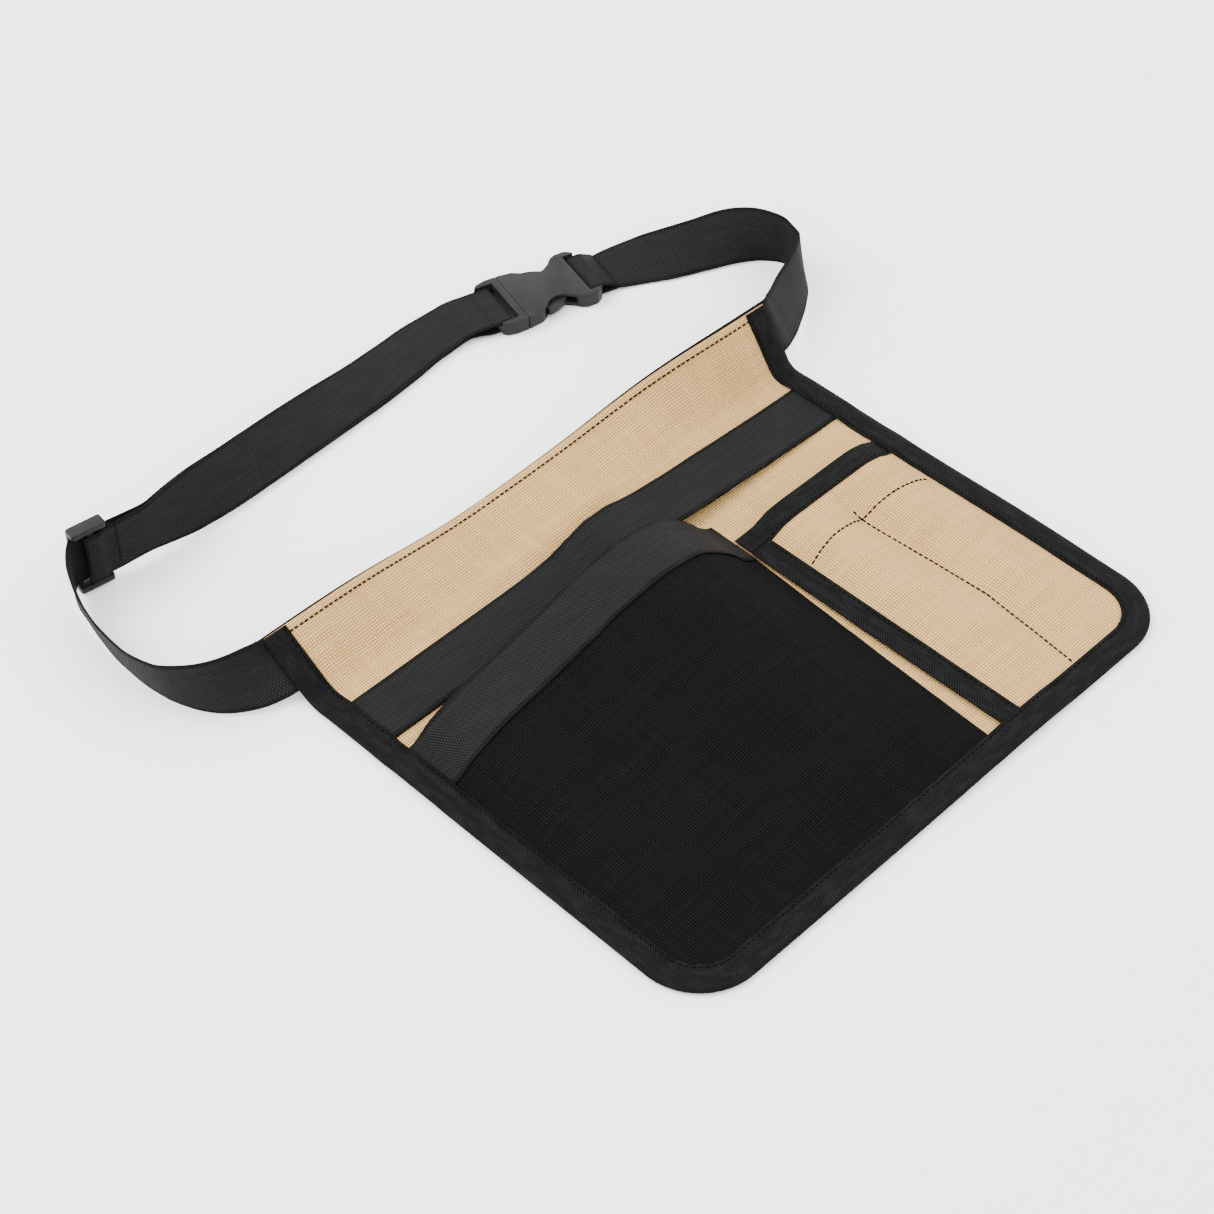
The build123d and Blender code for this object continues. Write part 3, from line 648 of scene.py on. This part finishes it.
tool_swell = smooth_curve(
    [0.0, 5.0, 14.7, 50.0, 100.0, 150.0, 194.0], [0.002, 0.003, 0.005, 0.45, 0.8, 0.94, 1.0])
tool_arch = smooth_curve(
    [226.0, 229.0, 241.5, 252.0, 266.0, 279.0, 286.0, 289.0, 292.0, 299.0, 312.0, 325.0, 336.0, 346.0],
    [0.0, 0.0, 0.12, 0.75, 1.0, 0.62, 0.1, 0.0, 0.1, 0.68, 1.0, 0.68, 0.004, 0.0])
tool_mouth_arch = smooth_curve(
    [226.0, 229.0, 241.5, 252.0, 266.0, 312.0, 325.0, 336.0, 346.0],
    [0.0, 0.0, 0.12, 0.75, 1.0, 1.0, 0.68, 0.004, 0.0])
tool_floor = smooth_curve([226.0, 240.0, 270.0, 346.0], [2.5, 2.5, 1.6, 1.6])


DIVIDER_TOP = 176.0
DIVIDER_FADE = 18.0


def tool_height(u, v):
    """The tool cloth's height over the panel: two swellings that become one above the divider."""
    sewn = float(np.clip((DIVIDER_TOP - v) / DIVIDER_FADE, 0.0, 1.0))
    share = tool_arch(u) * sewn + tool_mouth_arch(u) * (1.0 - sewn)
    return tool_floor(u) + TOOL_RISE * tool_swell(v) * share


def tool_patch(v_values, u_low, u_high, pitch=1.7):
    cols = int(round((u_high - u_low) / pitch)) + 1
    rows = []
    for v in v_values:
        right = min(u_high, PANEL_W - float(corner_inset(v, LAYER_INSET)))
        u = np.linspace(u_low, right, cols)
        rows.append(np.stack([gx(u), np.full(cols, gy(v)), tool_height(u, v) + drape(u, v)], axis=-1))
    return np.array(rows)


tool_v = np.concatenate([
    steps(POCKET_FOOT_V, CORNER_ROWS_TO, 2.0)[:-1], steps(CORNER_ROWS_TO, TOOL_TOP, 2.2)])
tool_base = tool_patch(tool_v, TOOL_LEFT, TOOL_RIGHT)
tool_cloth = layer(
    "tool_pocket_cloth", tool_base, arc_uv(tool_base, across_from=3.0), 0.0, TOOL_CLOTH_T, TAN, "canvas_tan")
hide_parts("tool_pocket_front")
tape_top = TOOL_TOP + 1.0
top_base = tool_patch(steps(tape_top - TOP_TAPE_W, tape_top, 1.3), TOOL_LEFT - 1.0, TOOL_RIGHT)
top_tape = layer(
    "tool_pocket_top_tape", top_base, arc_uv(top_base), *TOP_TAPE_OFFSETS, TAPE, "binding_tape")
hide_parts("tool_pocket_top_binding")


def turn_uv(flat):
    """Swap the flat coordinates so that a tape's length runs up the panel."""
    return flat[..., ::-1].copy()


side_base = tool_patch(steps(14.0, TOOL_TOP - 12.2, 2.0), TOOL_LEFT - 1.6, SIDE_TAPE_RIGHT, 1.4)
side_tape = layer(
    "tool_pocket_side_tape", side_base, turn_uv(arc_uv(side_base)), *SIDE_TAPE_OFFSETS, TAPE,
    "binding_tape")
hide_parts("tool_pocket_side_binding")

# ------------------------------------------------------------------ cross strap
cross_wave = smooth_curve(
    [5.0, 14.0, 60.0, 120.0, 145.0, 165.0, 178.0, 190.0, 205.0, 232.0, 263.0, 295.0, 337.0, 346.0],
    [0.0, 0.0, 0.3, 0.8, 2.2, 7.5, 11.0, 11.0, 8.0, 5.2, 3.4, 1.4, 0.0, 0.0])
cross_u = steps(5.0, 346.0, 2.0)
cross_z = LAY_Z + cross_wave(cross_u) + drape(cross_u, CROSS_MID_V)
cross_rows = []
for v in steps(CROSS_FROM, CROSS_FROM + WEB_W, 2.0):
    cross_rows.append(np.stack([gx(cross_u), np.full(len(cross_u), gy(v)), cross_z], axis=-1))
cross_base = np.array(cross_rows)
cross_strap = layer("cross_strap_webbing", cross_base, arc_uv(cross_base), 0.0, WEB_T, WEBBING, "webbing")
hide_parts("cross_strap")


# ------------------------------------------------------------------ the folded edge tape
def layer_top(u, v):
    """Height over the panel's underside of what the tape's upper leaf lies on."""
    margin = 3.0
    on_left = u < PANEL_W / 2
    top = 1.6
    if CROSS_FROM - margin < v < CROSS_FROM + WEB_W + margin:
        top = 3.0
    if on_left and v < MOUTH_V + margin:
        on_band = v > MOUTH_V - BAND_W - margin
        top = 3.4 if on_band else 2.6
    if not on_left and v < TOOL_TOP + margin:
        on_top_tape = v > TOOL_TOP - TOP_TAPE_W - 2.0
        top = 3.0 if on_top_tape else 2.3
    if v < 20:
        beside_tools, under_side_tape = u < 222, u < 262
        top = 2.6 if beside_tools else (3.5 if under_side_tape else 2.5)
    return top


SIDE_STEPS, CORNER_STEPS, FOOT_STEPS = 170, 26, 176


def edge_path():
    """Stations round the panel's edge: u, v of the outer edge and the inward direction."""
    path = [(0.0, v, 1.0, 0.0) for v in np.linspace(PANEL_FULL_H, CORNER_R, SIDE_STEPS)]
    for a in np.linspace(0, math.pi / 2, CORNER_STEPS)[1:]:
        c, s = math.cos(a), math.sin(a)
        path.append((CORNER_R - CORNER_R * c, CORNER_R - CORNER_R * s, c, s))
    path += [(u, 0.0, 0.0, 1.0) for u in np.linspace(CORNER_R, PANEL_W - CORNER_R, FOOT_STEPS)[1:]]
    for a in np.linspace(math.pi / 2, 0, CORNER_STEPS)[1:]:
        c, s = math.cos(a), math.sin(a)
        path.append((PANEL_W - CORNER_R + CORNER_R * c, CORNER_R - CORNER_R * s, -c, s))
    path += [(PANEL_W, v, -1.0, 0.0) for v in np.linspace(CORNER_R, PANEL_FULL_H, SIDE_STEPS)[1:]]
    return path


def edge_tape_profile(top):
    """Round the folded tape: (inward, height) pairs, outer skin then inner skin."""
    fold = 1.9
    high = max(top + 0.75, 2.9)
    mid = high / 2
    outer = [
        (BIND_W, top + TAPE_T), (11.0, top + TAPE_T + 0.12), (7.0, high + 0.05), (3.4, high + 0.1),
        (1.4, high - 0.35), (0.35, mid + 0.75), (0.0, mid), (0.3, mid - 0.8), (1.2, 0.25), (3.4, 0.0),
        (7.0, 0.0), (11.0, 0.0), (BIND_W, 0.0),
    ]
    inner = [
        (BIND_W, 0.6), (11.0, 0.6), (4.0, 0.6), (fold, 0.85), (1.0, mid), (fold, high - 0.9),
        (4.0, high - 0.62), (11.0, top + 0.1), (BIND_W, top + 0.04),
    ]
    return outer + inner


def running_length(pairs):
    """The length walked along a line at each of its points, over their first two coordinates."""
    lengths = [0.0]
    for a, b in zip(pairs, pairs[1:]):
        lengths.append(lengths[-1] + math.hypot(b[0] - a[0], b[1] - a[1]))
    return lengths


def build_edge_tape():
    path = edge_path()
    tops = averaged(np.array([layer_top(u, v) for u, v, iu, iv in path]), 3)
    profile = edge_tape_profile(2.0)
    per_ring = len(profile)
    points = []
    for (u, v, iu, iv), top in zip(path, tops):
        for inward, height in edge_tape_profile(top):
            points.append(panel_point(u + iu * inward, v + iv * inward, height))
    lengths = running_length(path)
    girth = running_length(profile)
    half_girth, seam = 20.0, girth[-1] + 0.6
    faces = tube_faces(len(path), per_ring)
    uvs = []
    for face in faces:
        corners = [(lengths[i // per_ring], girth[i % per_ring]) for i in face]
        across = [t for s, t in corners]
        if len(face) == 4 and max(across) - min(across) > half_girth:
            corners = [(s, t if t > half_girth else seam) for s, t in corners]
        uvs.append(corners)
    return make_object("edge_tape", points, faces, uvs, TAPE)


edge_tape = build_edge_tape()
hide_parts("edge_binding")


# ------------------------------------------------------------------ belt webbing
def level(deg):
    return (math.cos(math.radians(deg)), math.sin(math.radians(deg)))


SLIDER_X, SLIDER_Y, SLIDER_Z, SLIDER_HEAD_DEG = -22.0, 405.6, 21.4, -8.0
SLIDE_TO = 8.0
SLIDE_EDGE_Z = SLIDER_Z - WEB_W / 2
BUCKLE_X, BUCKLE_Y, BUCKLE_DEG = 293.5, 406.5, -15.0
BAR_MID_Z = 4.55
LOOP_R = 2.0
PLY_TOP_Z = BAR_MID_Z + LOOP_R + WEB_T / 2
PLY_LOW_Z = BAR_MID_Z - LOOP_R - WEB_T / 2
LOOP_RUN = 36.0
PLY_OFFSET = 0.8


def slide_line(x):
    """Across the straight stretch that the slider runs on, at x along it."""
    return SLIDER_Y + (x - SLIDER_X) * math.tan(math.radians(SLIDER_HEAD_DEG))


# the belt's stations: u, v and height of its lower edge, then its heading and lean in degrees
FAR_SIDE = [
    (SLIDE_TO, slide_line(SLIDE_TO), SLIDE_EDGE_Z, SLIDER_HEAD_DEG, 90.0), (24.0, 399.0, 3.6, -7.0, 102.0),
    (40.0, 397.0, 2.0, -4.0, 118.0), (65.0, 396.0, 1.5, 0.0, 135.0), (91.0, 396.8, 1.5, 2.0, 142.0),
    (117.0, 398.0, 1.6, 2.0, 149.0), (144.0, 399.4, 1.6, 3.0, 157.0), (171.5, 401.0, 1.6, 4.0, 165.0),
    (200.0, 404.0, 1.6, 5.0, 171.0), (222.0, 406.5, 2.2, -1.0, 176.0), (240.0, 406.2, 3.6, -10.0, 179.0),
]


def curl_station(u):
    """The belt where it lies behind the standing waist."""
    v = PANEL_FLAT_H + WAIST_WEB_FROM
    point = panel_point(u, v, -LAY_GAP - WEB_T / 2)
    height = float(point[2]) - float(drape(u, v))
    return (u, float(point[1]) - PANEL_BOTTOM, height, 180.0, float(curl_degrees(u)), 0.0)


def buckle_point(along, across):
    hx, hy = level(BUCKLE_DEG)
    return (BUCKLE_X + along * hx - across * hy, BUCKLE_Y + along * hy + across * hx)


def buckle_station(along, z):
    x, y = buckle_point(along, -WEB_W / 2)
    return (x, y, z, BUCKLE_DEG, 180.0, 0.0)


def far_ply(off):
    return [(*station, off) for station in FAR_SIDE]


def webbing_section():
    """The webbing's cross-section: (across, through) in millimetres, with rounded selvedges."""
    half_w, half_t = WEB_W / 2, WEB_T / 2
    side = [(half_w, 0.0), (half_w - 0.12, half_t * 0.7), (half_w - 0.5, half_t)]
    across = [(w, half_t) for w in np.linspace(half_w - 2.5, -half_w + 2.5, 7)]
    upper = side + across + [(-half_w + 0.5, half_t), (-half_w + 0.12, half_t * 0.7)]
    lower = [(-w, -t) for w, t in upper]
    return upper + lower


SECTION = webbing_section()


def sweep_webbing(name, frames, body="pouch", start_s=0.0):
    """frames: centre, wide and inward vectors in millimetres, already in the row frame."""
    points, lengths = [], [start_s]
    for k, (centre, wide, inward) in enumerate(frames):
        if k:
            lengths.append(lengths[-1] + float(np.linalg.norm(centre - frames[k - 1][0])))
        for w, t in SECTION:
            points.append(centre + wide * w + inward * t)
    per_ring = len(SECTION)
    faces = tube_faces(len(frames), per_ring)
    uvs = []
    for face in faces:
        uvs.append([(lengths[i // per_ring], WEB_W / 2 + SECTION[i % per_ring][0]) for i in face])
    return make_object(name, points, faces, uvs, WEBBING, body)


def station_frames(stations):
    """Smoothly interpolated frames along stations of the lower edge, the last value an offset inward."""
    st = np.array(stations, float)
    gap = np.linalg.norm(np.diff(st[:, :3], axis=0), axis=1)
    s = np.concatenate([[0], np.cumsum(np.maximum(gap, 0.05))])
    st[:, 3] = np.unwrap(np.radians(st[:, 3]))
    curves = [smooth_curve(s, column) for column in st.T]
    frames = []
    for t in steps(0, s[-1], 2.0):
        x, y, z, heading, lean, off = (float(c(t)) for c in curves)
        hx, hy = math.cos(heading), math.sin(heading)
        c, q = level(lean)
        wide = np.array([c * hy, -c * hx, q])
        inward = np.cross(np.array([hx, hy, 0.0]), wide)
        centre = np.array([gx(x), gy(y), z]) + wide * WEB_W / 2 + inward * off
        frames.append((centre, wide, inward))
    return frames


def buckle_frames(plane_points):
    """Frames along a line in the buckle's upright plane: (along, z) points."""
    hx, hy = level(BUCKLE_DEG)
    wide = np.array([-hy, hx, 0.0])
    pts = np.array(plane_points, float)
    frames = []
    for (a, z), (ta, tz) in zip(pts, unit(np.gradient(pts, axis=0))):
        x, y = buckle_point(a, 0.0)
        ahead = np.array([hx * ta, hy * ta, tz])
        frames.append((np.array([gx(x), gy(y), z]), wide, np.cross(ahead, wide)))
    return frames


# how far from the buckle's middle the strap turns, at the socket and at the plug
SOCKET_TURN = 30.2
PLUG_TURN = 26.0


def turn_points(side):
    """The ply's middle line round a buckle bar, from the upper run to the lower run."""
    reach = SOCKET_TURN if side > 0 else PLUG_TURN
    mid_r = LOOP_R + WEB_T / 2
    straight = np.linspace(LOOP_RUN, reach + 0.8, 6)
    pts = [(side * a, PLY_TOP_Z) for a in straight]
    for a in np.linspace(math.pi / 2, 3 * math.pi / 2, 22):
        pts.append((side * (reach + mid_r * math.cos(a)), BAR_MID_Z + mid_r * math.sin(a)))
    pts += [(side * a, PLY_LOW_Z) for a in straight[::-1]]
    return pts


BELT_LEFT = [curl_station(u) for u in np.linspace(343.0, 8.0, 25)] + [curl_station(0.0)] + [
    (-13.0, 275.6, 3.4, 158.0, 42.0, 0.0), (-25.0, 282.6, 1.8, 143.0, 58.0, 0.0),
    (-34.5, 292.0, 0.9, 128.0, 76.0, 0.0), (-41.5, 304.5, 0.6, 113.0, 92.0, 0.0),
    (-46.0, 319.0, 0.6, 101.0, 103.0, 0.0), (-47.8, 336.0, 0.6, 92.0, 106.0, 0.0),
    (-47.4, 353.0, 0.7, 86.0, 105.0, 0.0), (-45.2, 370.0, 1.6, 80.0, 103.0, 0.0),
    (-42.6, 384.0, 3.2, 75.0, 99.0, 0.0), (-40.0, 393.5, 4.8, 66.0, 94.0, -PLY_OFFSET),
    (-37.2, 400.0, SLIDE_EDGE_Z + 0.3, 50.0, 91.0, -PLY_OFFSET),
    (-34.2, 404.2, SLIDE_EDGE_Z + 0.2, 26.0, 90.0, -PLY_OFFSET),
    (-31.0, slide_line(-31.0), SLIDE_EDGE_Z, SLIDER_HEAD_DEG, 90.0, -PLY_OFFSET),
] + far_ply(-PLY_OFFSET) + [buckle_station(-LOOP_RUN, PLY_LOW_Z)]

belt_frames = station_frames(BELT_LEFT) + buckle_frames(turn_points(-1)[::-1])[1:]
belt_left = sweep_webbing("left_belt_webbing", belt_frames)
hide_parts("waistband_webbing", "left_strap")

FOLD_END = 14.0
BAR_AT = -1.4
TURN_MID, TURN_R = -2.6, 1.1
RETURN_START = SLIDER_X + (FOLD_END + 0.3) * level(SLIDER_HEAD_DEG)[0]
return_frames = station_frames(
    [(RETURN_START, slide_line(RETURN_START), SLIDE_EDGE_Z, SLIDER_HEAD_DEG, 90.0, 2.1)]
    + [(*FAR_SIDE[0], 1.2)] + far_ply(PLY_OFFSET)[1:] + [buckle_station(-LOOP_RUN, PLY_TOP_Z)])
belt_return = sweep_webbing("left_belt_return", return_frames, body=None, start_s=30.0)
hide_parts("left_strap_return")
gx(222.0) * MM
gy(405.0) * MM
gx(-7.0) * MM
gy(403.0) * MM
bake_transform(belt_return)


def slide_frames(plane_points):
    """Frames along a line in the slider's plane: (along, outward) points."""
    origin = np.array([gx(SLIDER_X), gy(SLIDER_Y), SLIDER_Z])
    ahead_axis = np.array([*level(SLIDER_HEAD_DEG), 0.0])
    wide = np.array([0.0, 0.0, 1.0])
    outward = np.cross(wide, ahead_axis)
    pts = np.array(plane_points, float)
    frames = []
    for (s, o), (ts, to) in zip(pts, unit(np.gradient(pts, axis=0))):
        ahead = ahead_axis * ts + outward * to
        frames.append((origin + ahead_axis * s + outward * o, wide, np.cross(ahead, wide)))
    return frames


def fold_points():
    """The strap's end: in from the near ply, round the slider's bar and back to the sewn end."""
    mid = TURN_R + WEB_T / 2
    pts = [(s, TURN_MID + mid) for s in np.linspace(FOLD_END - 1, -0.6, 9)]
    for a in np.linspace(math.pi / 2, 3 * math.pi / 2, 16):
        pts.append((BAR_AT + mid * math.cos(a), TURN_MID + mid * math.sin(a)))
    near_ply = TURN_MID + TURN_R - WEB_T / 2
    far = smooth_curve([-0.6, 3.0, 10.0, FOLD_END], [TURN_MID - mid, TURN_MID - mid, near_ply, near_ply])
    pts += [(s, float(far(s))) for s in np.linspace(-0.4, FOLD_END, 22)]
    return pts


strap_end = sweep_webbing("slider_sewn_end", slide_frames(fold_points()), body="slider")
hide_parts("left_strap_end")

LOOP_END = 44.0
upper_in = smooth_curve([LOOP_RUN, LOOP_END], [PLY_TOP_Z, PLY_LOW_Z + WEB_T])
lower_in = smooth_curve([LOOP_RUN, LOOP_END], [PLY_LOW_Z, PLY_LOW_Z - 0.4])
sewn_run = [38.0, 40.0, 42.0, LOOP_END]
loop_pts = [(a, float(upper_in(a))) for a in reversed(sewn_run)] + turn_points(1)
loop_pts += [(a, float(lower_in(a))) for a in sewn_run]
right_loop = sweep_webbing("socket_sewn_loop", buckle_frames(loop_pts), body="socket")
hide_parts("right_strap_loop")

BELT_RIGHT = [
    buckle_station(44.3, PLY_LOW_Z - 0.1), (345.5, 372.6, 0.8, -33.0, 164.0, 0.0),
    (361.0, 363.4, 0.8, -28.0, 154.0, 0.0), (380.0, 354.6, 0.8, -26.0, 147.0, 0.0),
    (398.0, 346.0, 0.8, -32.0, 124.0, 0.0), (410.0, 336.8, 0.7, -48.0, 102.0, 0.0),
    (415.6, 326.6, 0.7, -72.0, 90.0, 0.0), (415.6, 315.4, 0.7, -102.0, 84.0, 0.0),
    (409.5, 304.6, 0.8, -130.0, 76.0, 0.0), (398.0, 294.8, 1.4, -145.0, 67.0, 0.0),
    (383.0, 285.2, 3.0, -150.0, 60.0, 0.0), (366.0, 275.8, 5.6, -160.0, 57.5, 0.0),
    curl_station(PANEL_W), curl_station(PANEL_W - 7.6),
]
belt_right = sweep_webbing("right_belt_webbing", station_frames(BELT_RIGHT), body=None)
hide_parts("right_strap")
gx(372.0) * MM
gy(280.0) * MM
gx(346.0) * MM
gy(385.0) * MM
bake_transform(belt_right)


# ------------------------------------------------------------------ buckle and slider
def moulded(name, node, body, upright_radius, edge_radius):
    """A bevelled copy of a moulded part: its outline rounded first, then its rims."""
    bm = bmesh.new()
    bm.from_mesh(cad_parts[node].data)
    bmesh.ops.remove_doubles(bm, verts=bm.verts, dist=0.00002)
    bmesh.ops.dissolve_limit(bm, angle_limit=math.radians(1.5), verts=bm.verts, edges=bm.edges)

    def bevel(edges, radius, segments):
        bmesh.ops.bevel(bm, geom=edges, offset=radius, offset_type="OFFSET", segments=segments,
                        profile=0.5, affect="EDGES", clamp_overlap=True, material=-1)

    if upright_radius:
        shortest, least_turn = 0.0015, math.radians(8)
        bevel([e for e in bm.edges if e.is_manifold
               and abs((e.verts[0].co - e.verts[1].co).normalized().z) > 0.98
               and e.calc_face_angle(0) > least_turn and e.calc_length() > shortest], upright_radius, 4)
    rim_turn = math.radians(38)
    bevel([e for e in bm.edges if e.is_manifold and e.calc_face_angle(0) > rim_turn], edge_radius, 3)
    bmesh.ops.recalc_face_normals(bm, faces=bm.faces)
    mesh = bpy.data.meshes.new(name)
    bm.to_mesh(mesh)
    bm.free()
    mesh.polygons.foreach_set("use_smooth", [True] * len(mesh.polygons))
    mesh.set_sharp_from_angle(angle=math.radians(40))
    mesh.materials.append(PLASTIC)
    obj = bpy.data.objects.new(name, mesh)
    bpy.context.scene.collection.objects.link(obj)
    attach(obj, body)
    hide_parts(node)


moulded("socket_shell", "buckle_socket", "socket", 0.0015, 0.0007)
moulded("plug_base", "buckle_plug", "pouch", 0.0015, 0.0007)
moulded("plug_arm_near", "plug_arm_left", "arm_left", 0.0008, 0.0005)
moulded("plug_arm_far", "plug_arm_right", "arm_right", 0.0008, 0.0005)
moulded("slider_frame", "strap_slider", "slider", 0.0, 0.0006)

# ------------------------------------------------------------------ stitches
STITCH_RING = 6
STITCH_PITCH = 3.3
NUDGE = 0.5


def walked(line):
    """The length walked along a line of points, at each of them."""
    return np.concatenate([[0], np.cumsum(np.linalg.norm(np.diff(line, axis=0), axis=1))])


def between(at, s, columns):
    """The vector at a length along a line of vectors."""
    return np.array([np.interp(at, s, columns[:, i]) for i in range(columns.shape[1])])


def stitch_mesh(name, runs, radius, length=2.7):
    """runs: lists of (points, normals); each stitch is a short pillowed capsule sunk at its ends."""
    points, faces, uvs = [], [], []
    rng = random.Random(7)
    profile = [(0.0, 0.35, -0.5), (0.18, 0.9, 0.2), (0.5, 1.0, 0.5), (0.82, 0.9, 0.2), (1.0, 0.35, -0.5)]
    for line, normals in runs:
        s = walked(line)
        count = int(s[-1] // STITCH_PITCH)
        for k in range(count):
            start = (k + 0.5) * s[-1] / count - length / 2 + rng.uniform(-0.2, 0.2)
            first = len(points)
            for share, fat, lift in profile:
                at = start + share * length
                centre = between(at, s, line)
                normal = unit(between(at, s, normals))
                ahead = unit(between(at + 0.3, s, line) - between(at - 0.3, s, line))
                side = np.cross(ahead, normal)
                for q in range(STITCH_RING):
                    a = 2 * math.pi * q / STITCH_RING
                    points.append(centre + normal * (lift * radius + math.sin(a) * radius * fat)
                                  + side * math.cos(a) * radius * fat)
            for face in tube_faces(len(profile), STITCH_RING):
                faces.append([first + i for i in face])
                uvs.append([(0.6 * (i // STITCH_RING), 0.35 * (i % STITCH_RING)) for i in face])
    return make_object(name, points, faces, uvs, THREAD)


def surface_run(at, line_uv, off):
    """A line's points on a surface at(u, v), set off along its normals."""
    u, v = np.asarray(line_uv, float).T
    p = at(u, v)
    n = unit(np.cross(at(u + NUDGE, v) - p, at(u, v + NUDGE) - p))
    return p + n * np.asarray(off, float).reshape(-1, 1), n


def tool_point(u, v):
    return np.array([[gx(a), gy(b), float(tool_height(a, b)) + float(drape(a, b))] for a, b in zip(u, v)])


def dense(points):
    """The same line with a point every 1.5 mm."""
    pts = np.asarray(points, float)
    s = walked(pts)
    return np.stack([np.interp(steps(0, s[-1], 1.5), s, column) for column in pts.T], axis=-1)


HEM_V = 300.0
hem_line = dense([(14.0, HEM_V), (338.0, HEM_V)])
stitch_mesh("waist_hem_stitches", [surface_run(panel_point, hem_line, PANEL_TOP)], 0.5, 3.0)

under_mouth = dense([(243.0, 152.0), (262.0, 155.5), (292.0, 156.5), (316.0, 154.0), (334.0, 152.0)])
divider = dense([
    (287.0, 163.0), (286.5, 150.0), (289.5, 110.0), (291.0, 75.0), (288.0, 45.0), (285.0, 16.0)])
stitch_mesh("tool_pocket_stitches",
            [surface_run(tool_point, line, TOOL_CLOTH_T) for line in (under_mouth, divider)],
            0.5, 3.0)

TAPE_ROW = BIND_W - 2.0
tape_row = dense([(u + iu * TAPE_ROW, v + iv * TAPE_ROW) for u, v, iu, iv in edge_path()])
row_heights = averaged([layer_top(u, v) for u, v in tape_row], 6) + TAPE_T + 0.05
stitch_mesh("edge_tape_stitches", [surface_run(panel_point, tape_row, row_heights)], 0.26)

TOP_ROW_V, SIDE_ROW_U = 180.3, 239.6
tape_rows = [
    dense([(229.5, TOP_ROW_V), (336.0, TOP_ROW_V)]), dense([(SIDE_ROW_U, 16.0), (SIDE_ROW_U, 178.0)])]
stitch_mesh("tool_tape_stitches",
            [surface_run(tool_point, line, SIDE_TAPE_OFFSETS[1]) for line in tape_rows], 0.26)


# ------------------------------------------------------------------ floor and light
FLOOR_HALF = 14.0
FLOOR_Z = -0.0004
WORLD_STRENGTH = 3.1
LAMPS = [("key_light", (-0.9, 1.3, 1.7), 60.0, 1.2), ("fill_light", (1.3, -0.9, 1.5), 14.0, 1.6)]


def studio():
    """Pale paper under the belt, an even sky, and two soft lamps aimed at the middle."""
    corners = [(-1, -1), (1, -1), (1, 1), (-1, 1)]
    mesh = bpy.data.meshes.new("floor")
    mesh.from_pydata([(x * FLOOR_HALF, y * FLOOR_HALF, FLOOR_Z) for x, y in corners], [], [(0, 1, 2, 3)])
    paper = Finish("floor_paper", Specular_IOR_Level=0.1)
    grain = paper.noise(paper.solid_place(), 40.0, 2.0)
    shade = paper.blend_colours(grain, (0.93, 0.93, 0.93), (0.95, 0.95, 0.95))
    mesh.materials.append(paper.surface(shade, grain * 0.05 + 0.9, grain, 0.01))
    floor = bpy.data.objects.new("floor", mesh)
    bpy.context.scene.collection.objects.link(floor)
    world = bpy.data.worlds.new("studio")
    world.use_nodes = True
    sky = world.node_tree.nodes["Background"].inputs
    sky["Color"].default_value = (1.0, 1.0, 1.0, 1.0)
    sky["Strength"].default_value = WORLD_STRENGTH
    bpy.context.scene.world = world
    for name, place, power, width in LAMPS:
        lamp = bpy.data.lights.new(name, "AREA")
        lamp.energy = power
        lamp.size = width
        holder = bpy.data.objects.new(name, lamp)
        aim = (-Vector(place)).to_track_quat("-Z", "Y").to_matrix().to_4x4()
        holder.matrix_world = Matrix.Translation(Vector(place)) @ aim
        bpy.context.scene.collection.objects.link(holder)


studio()
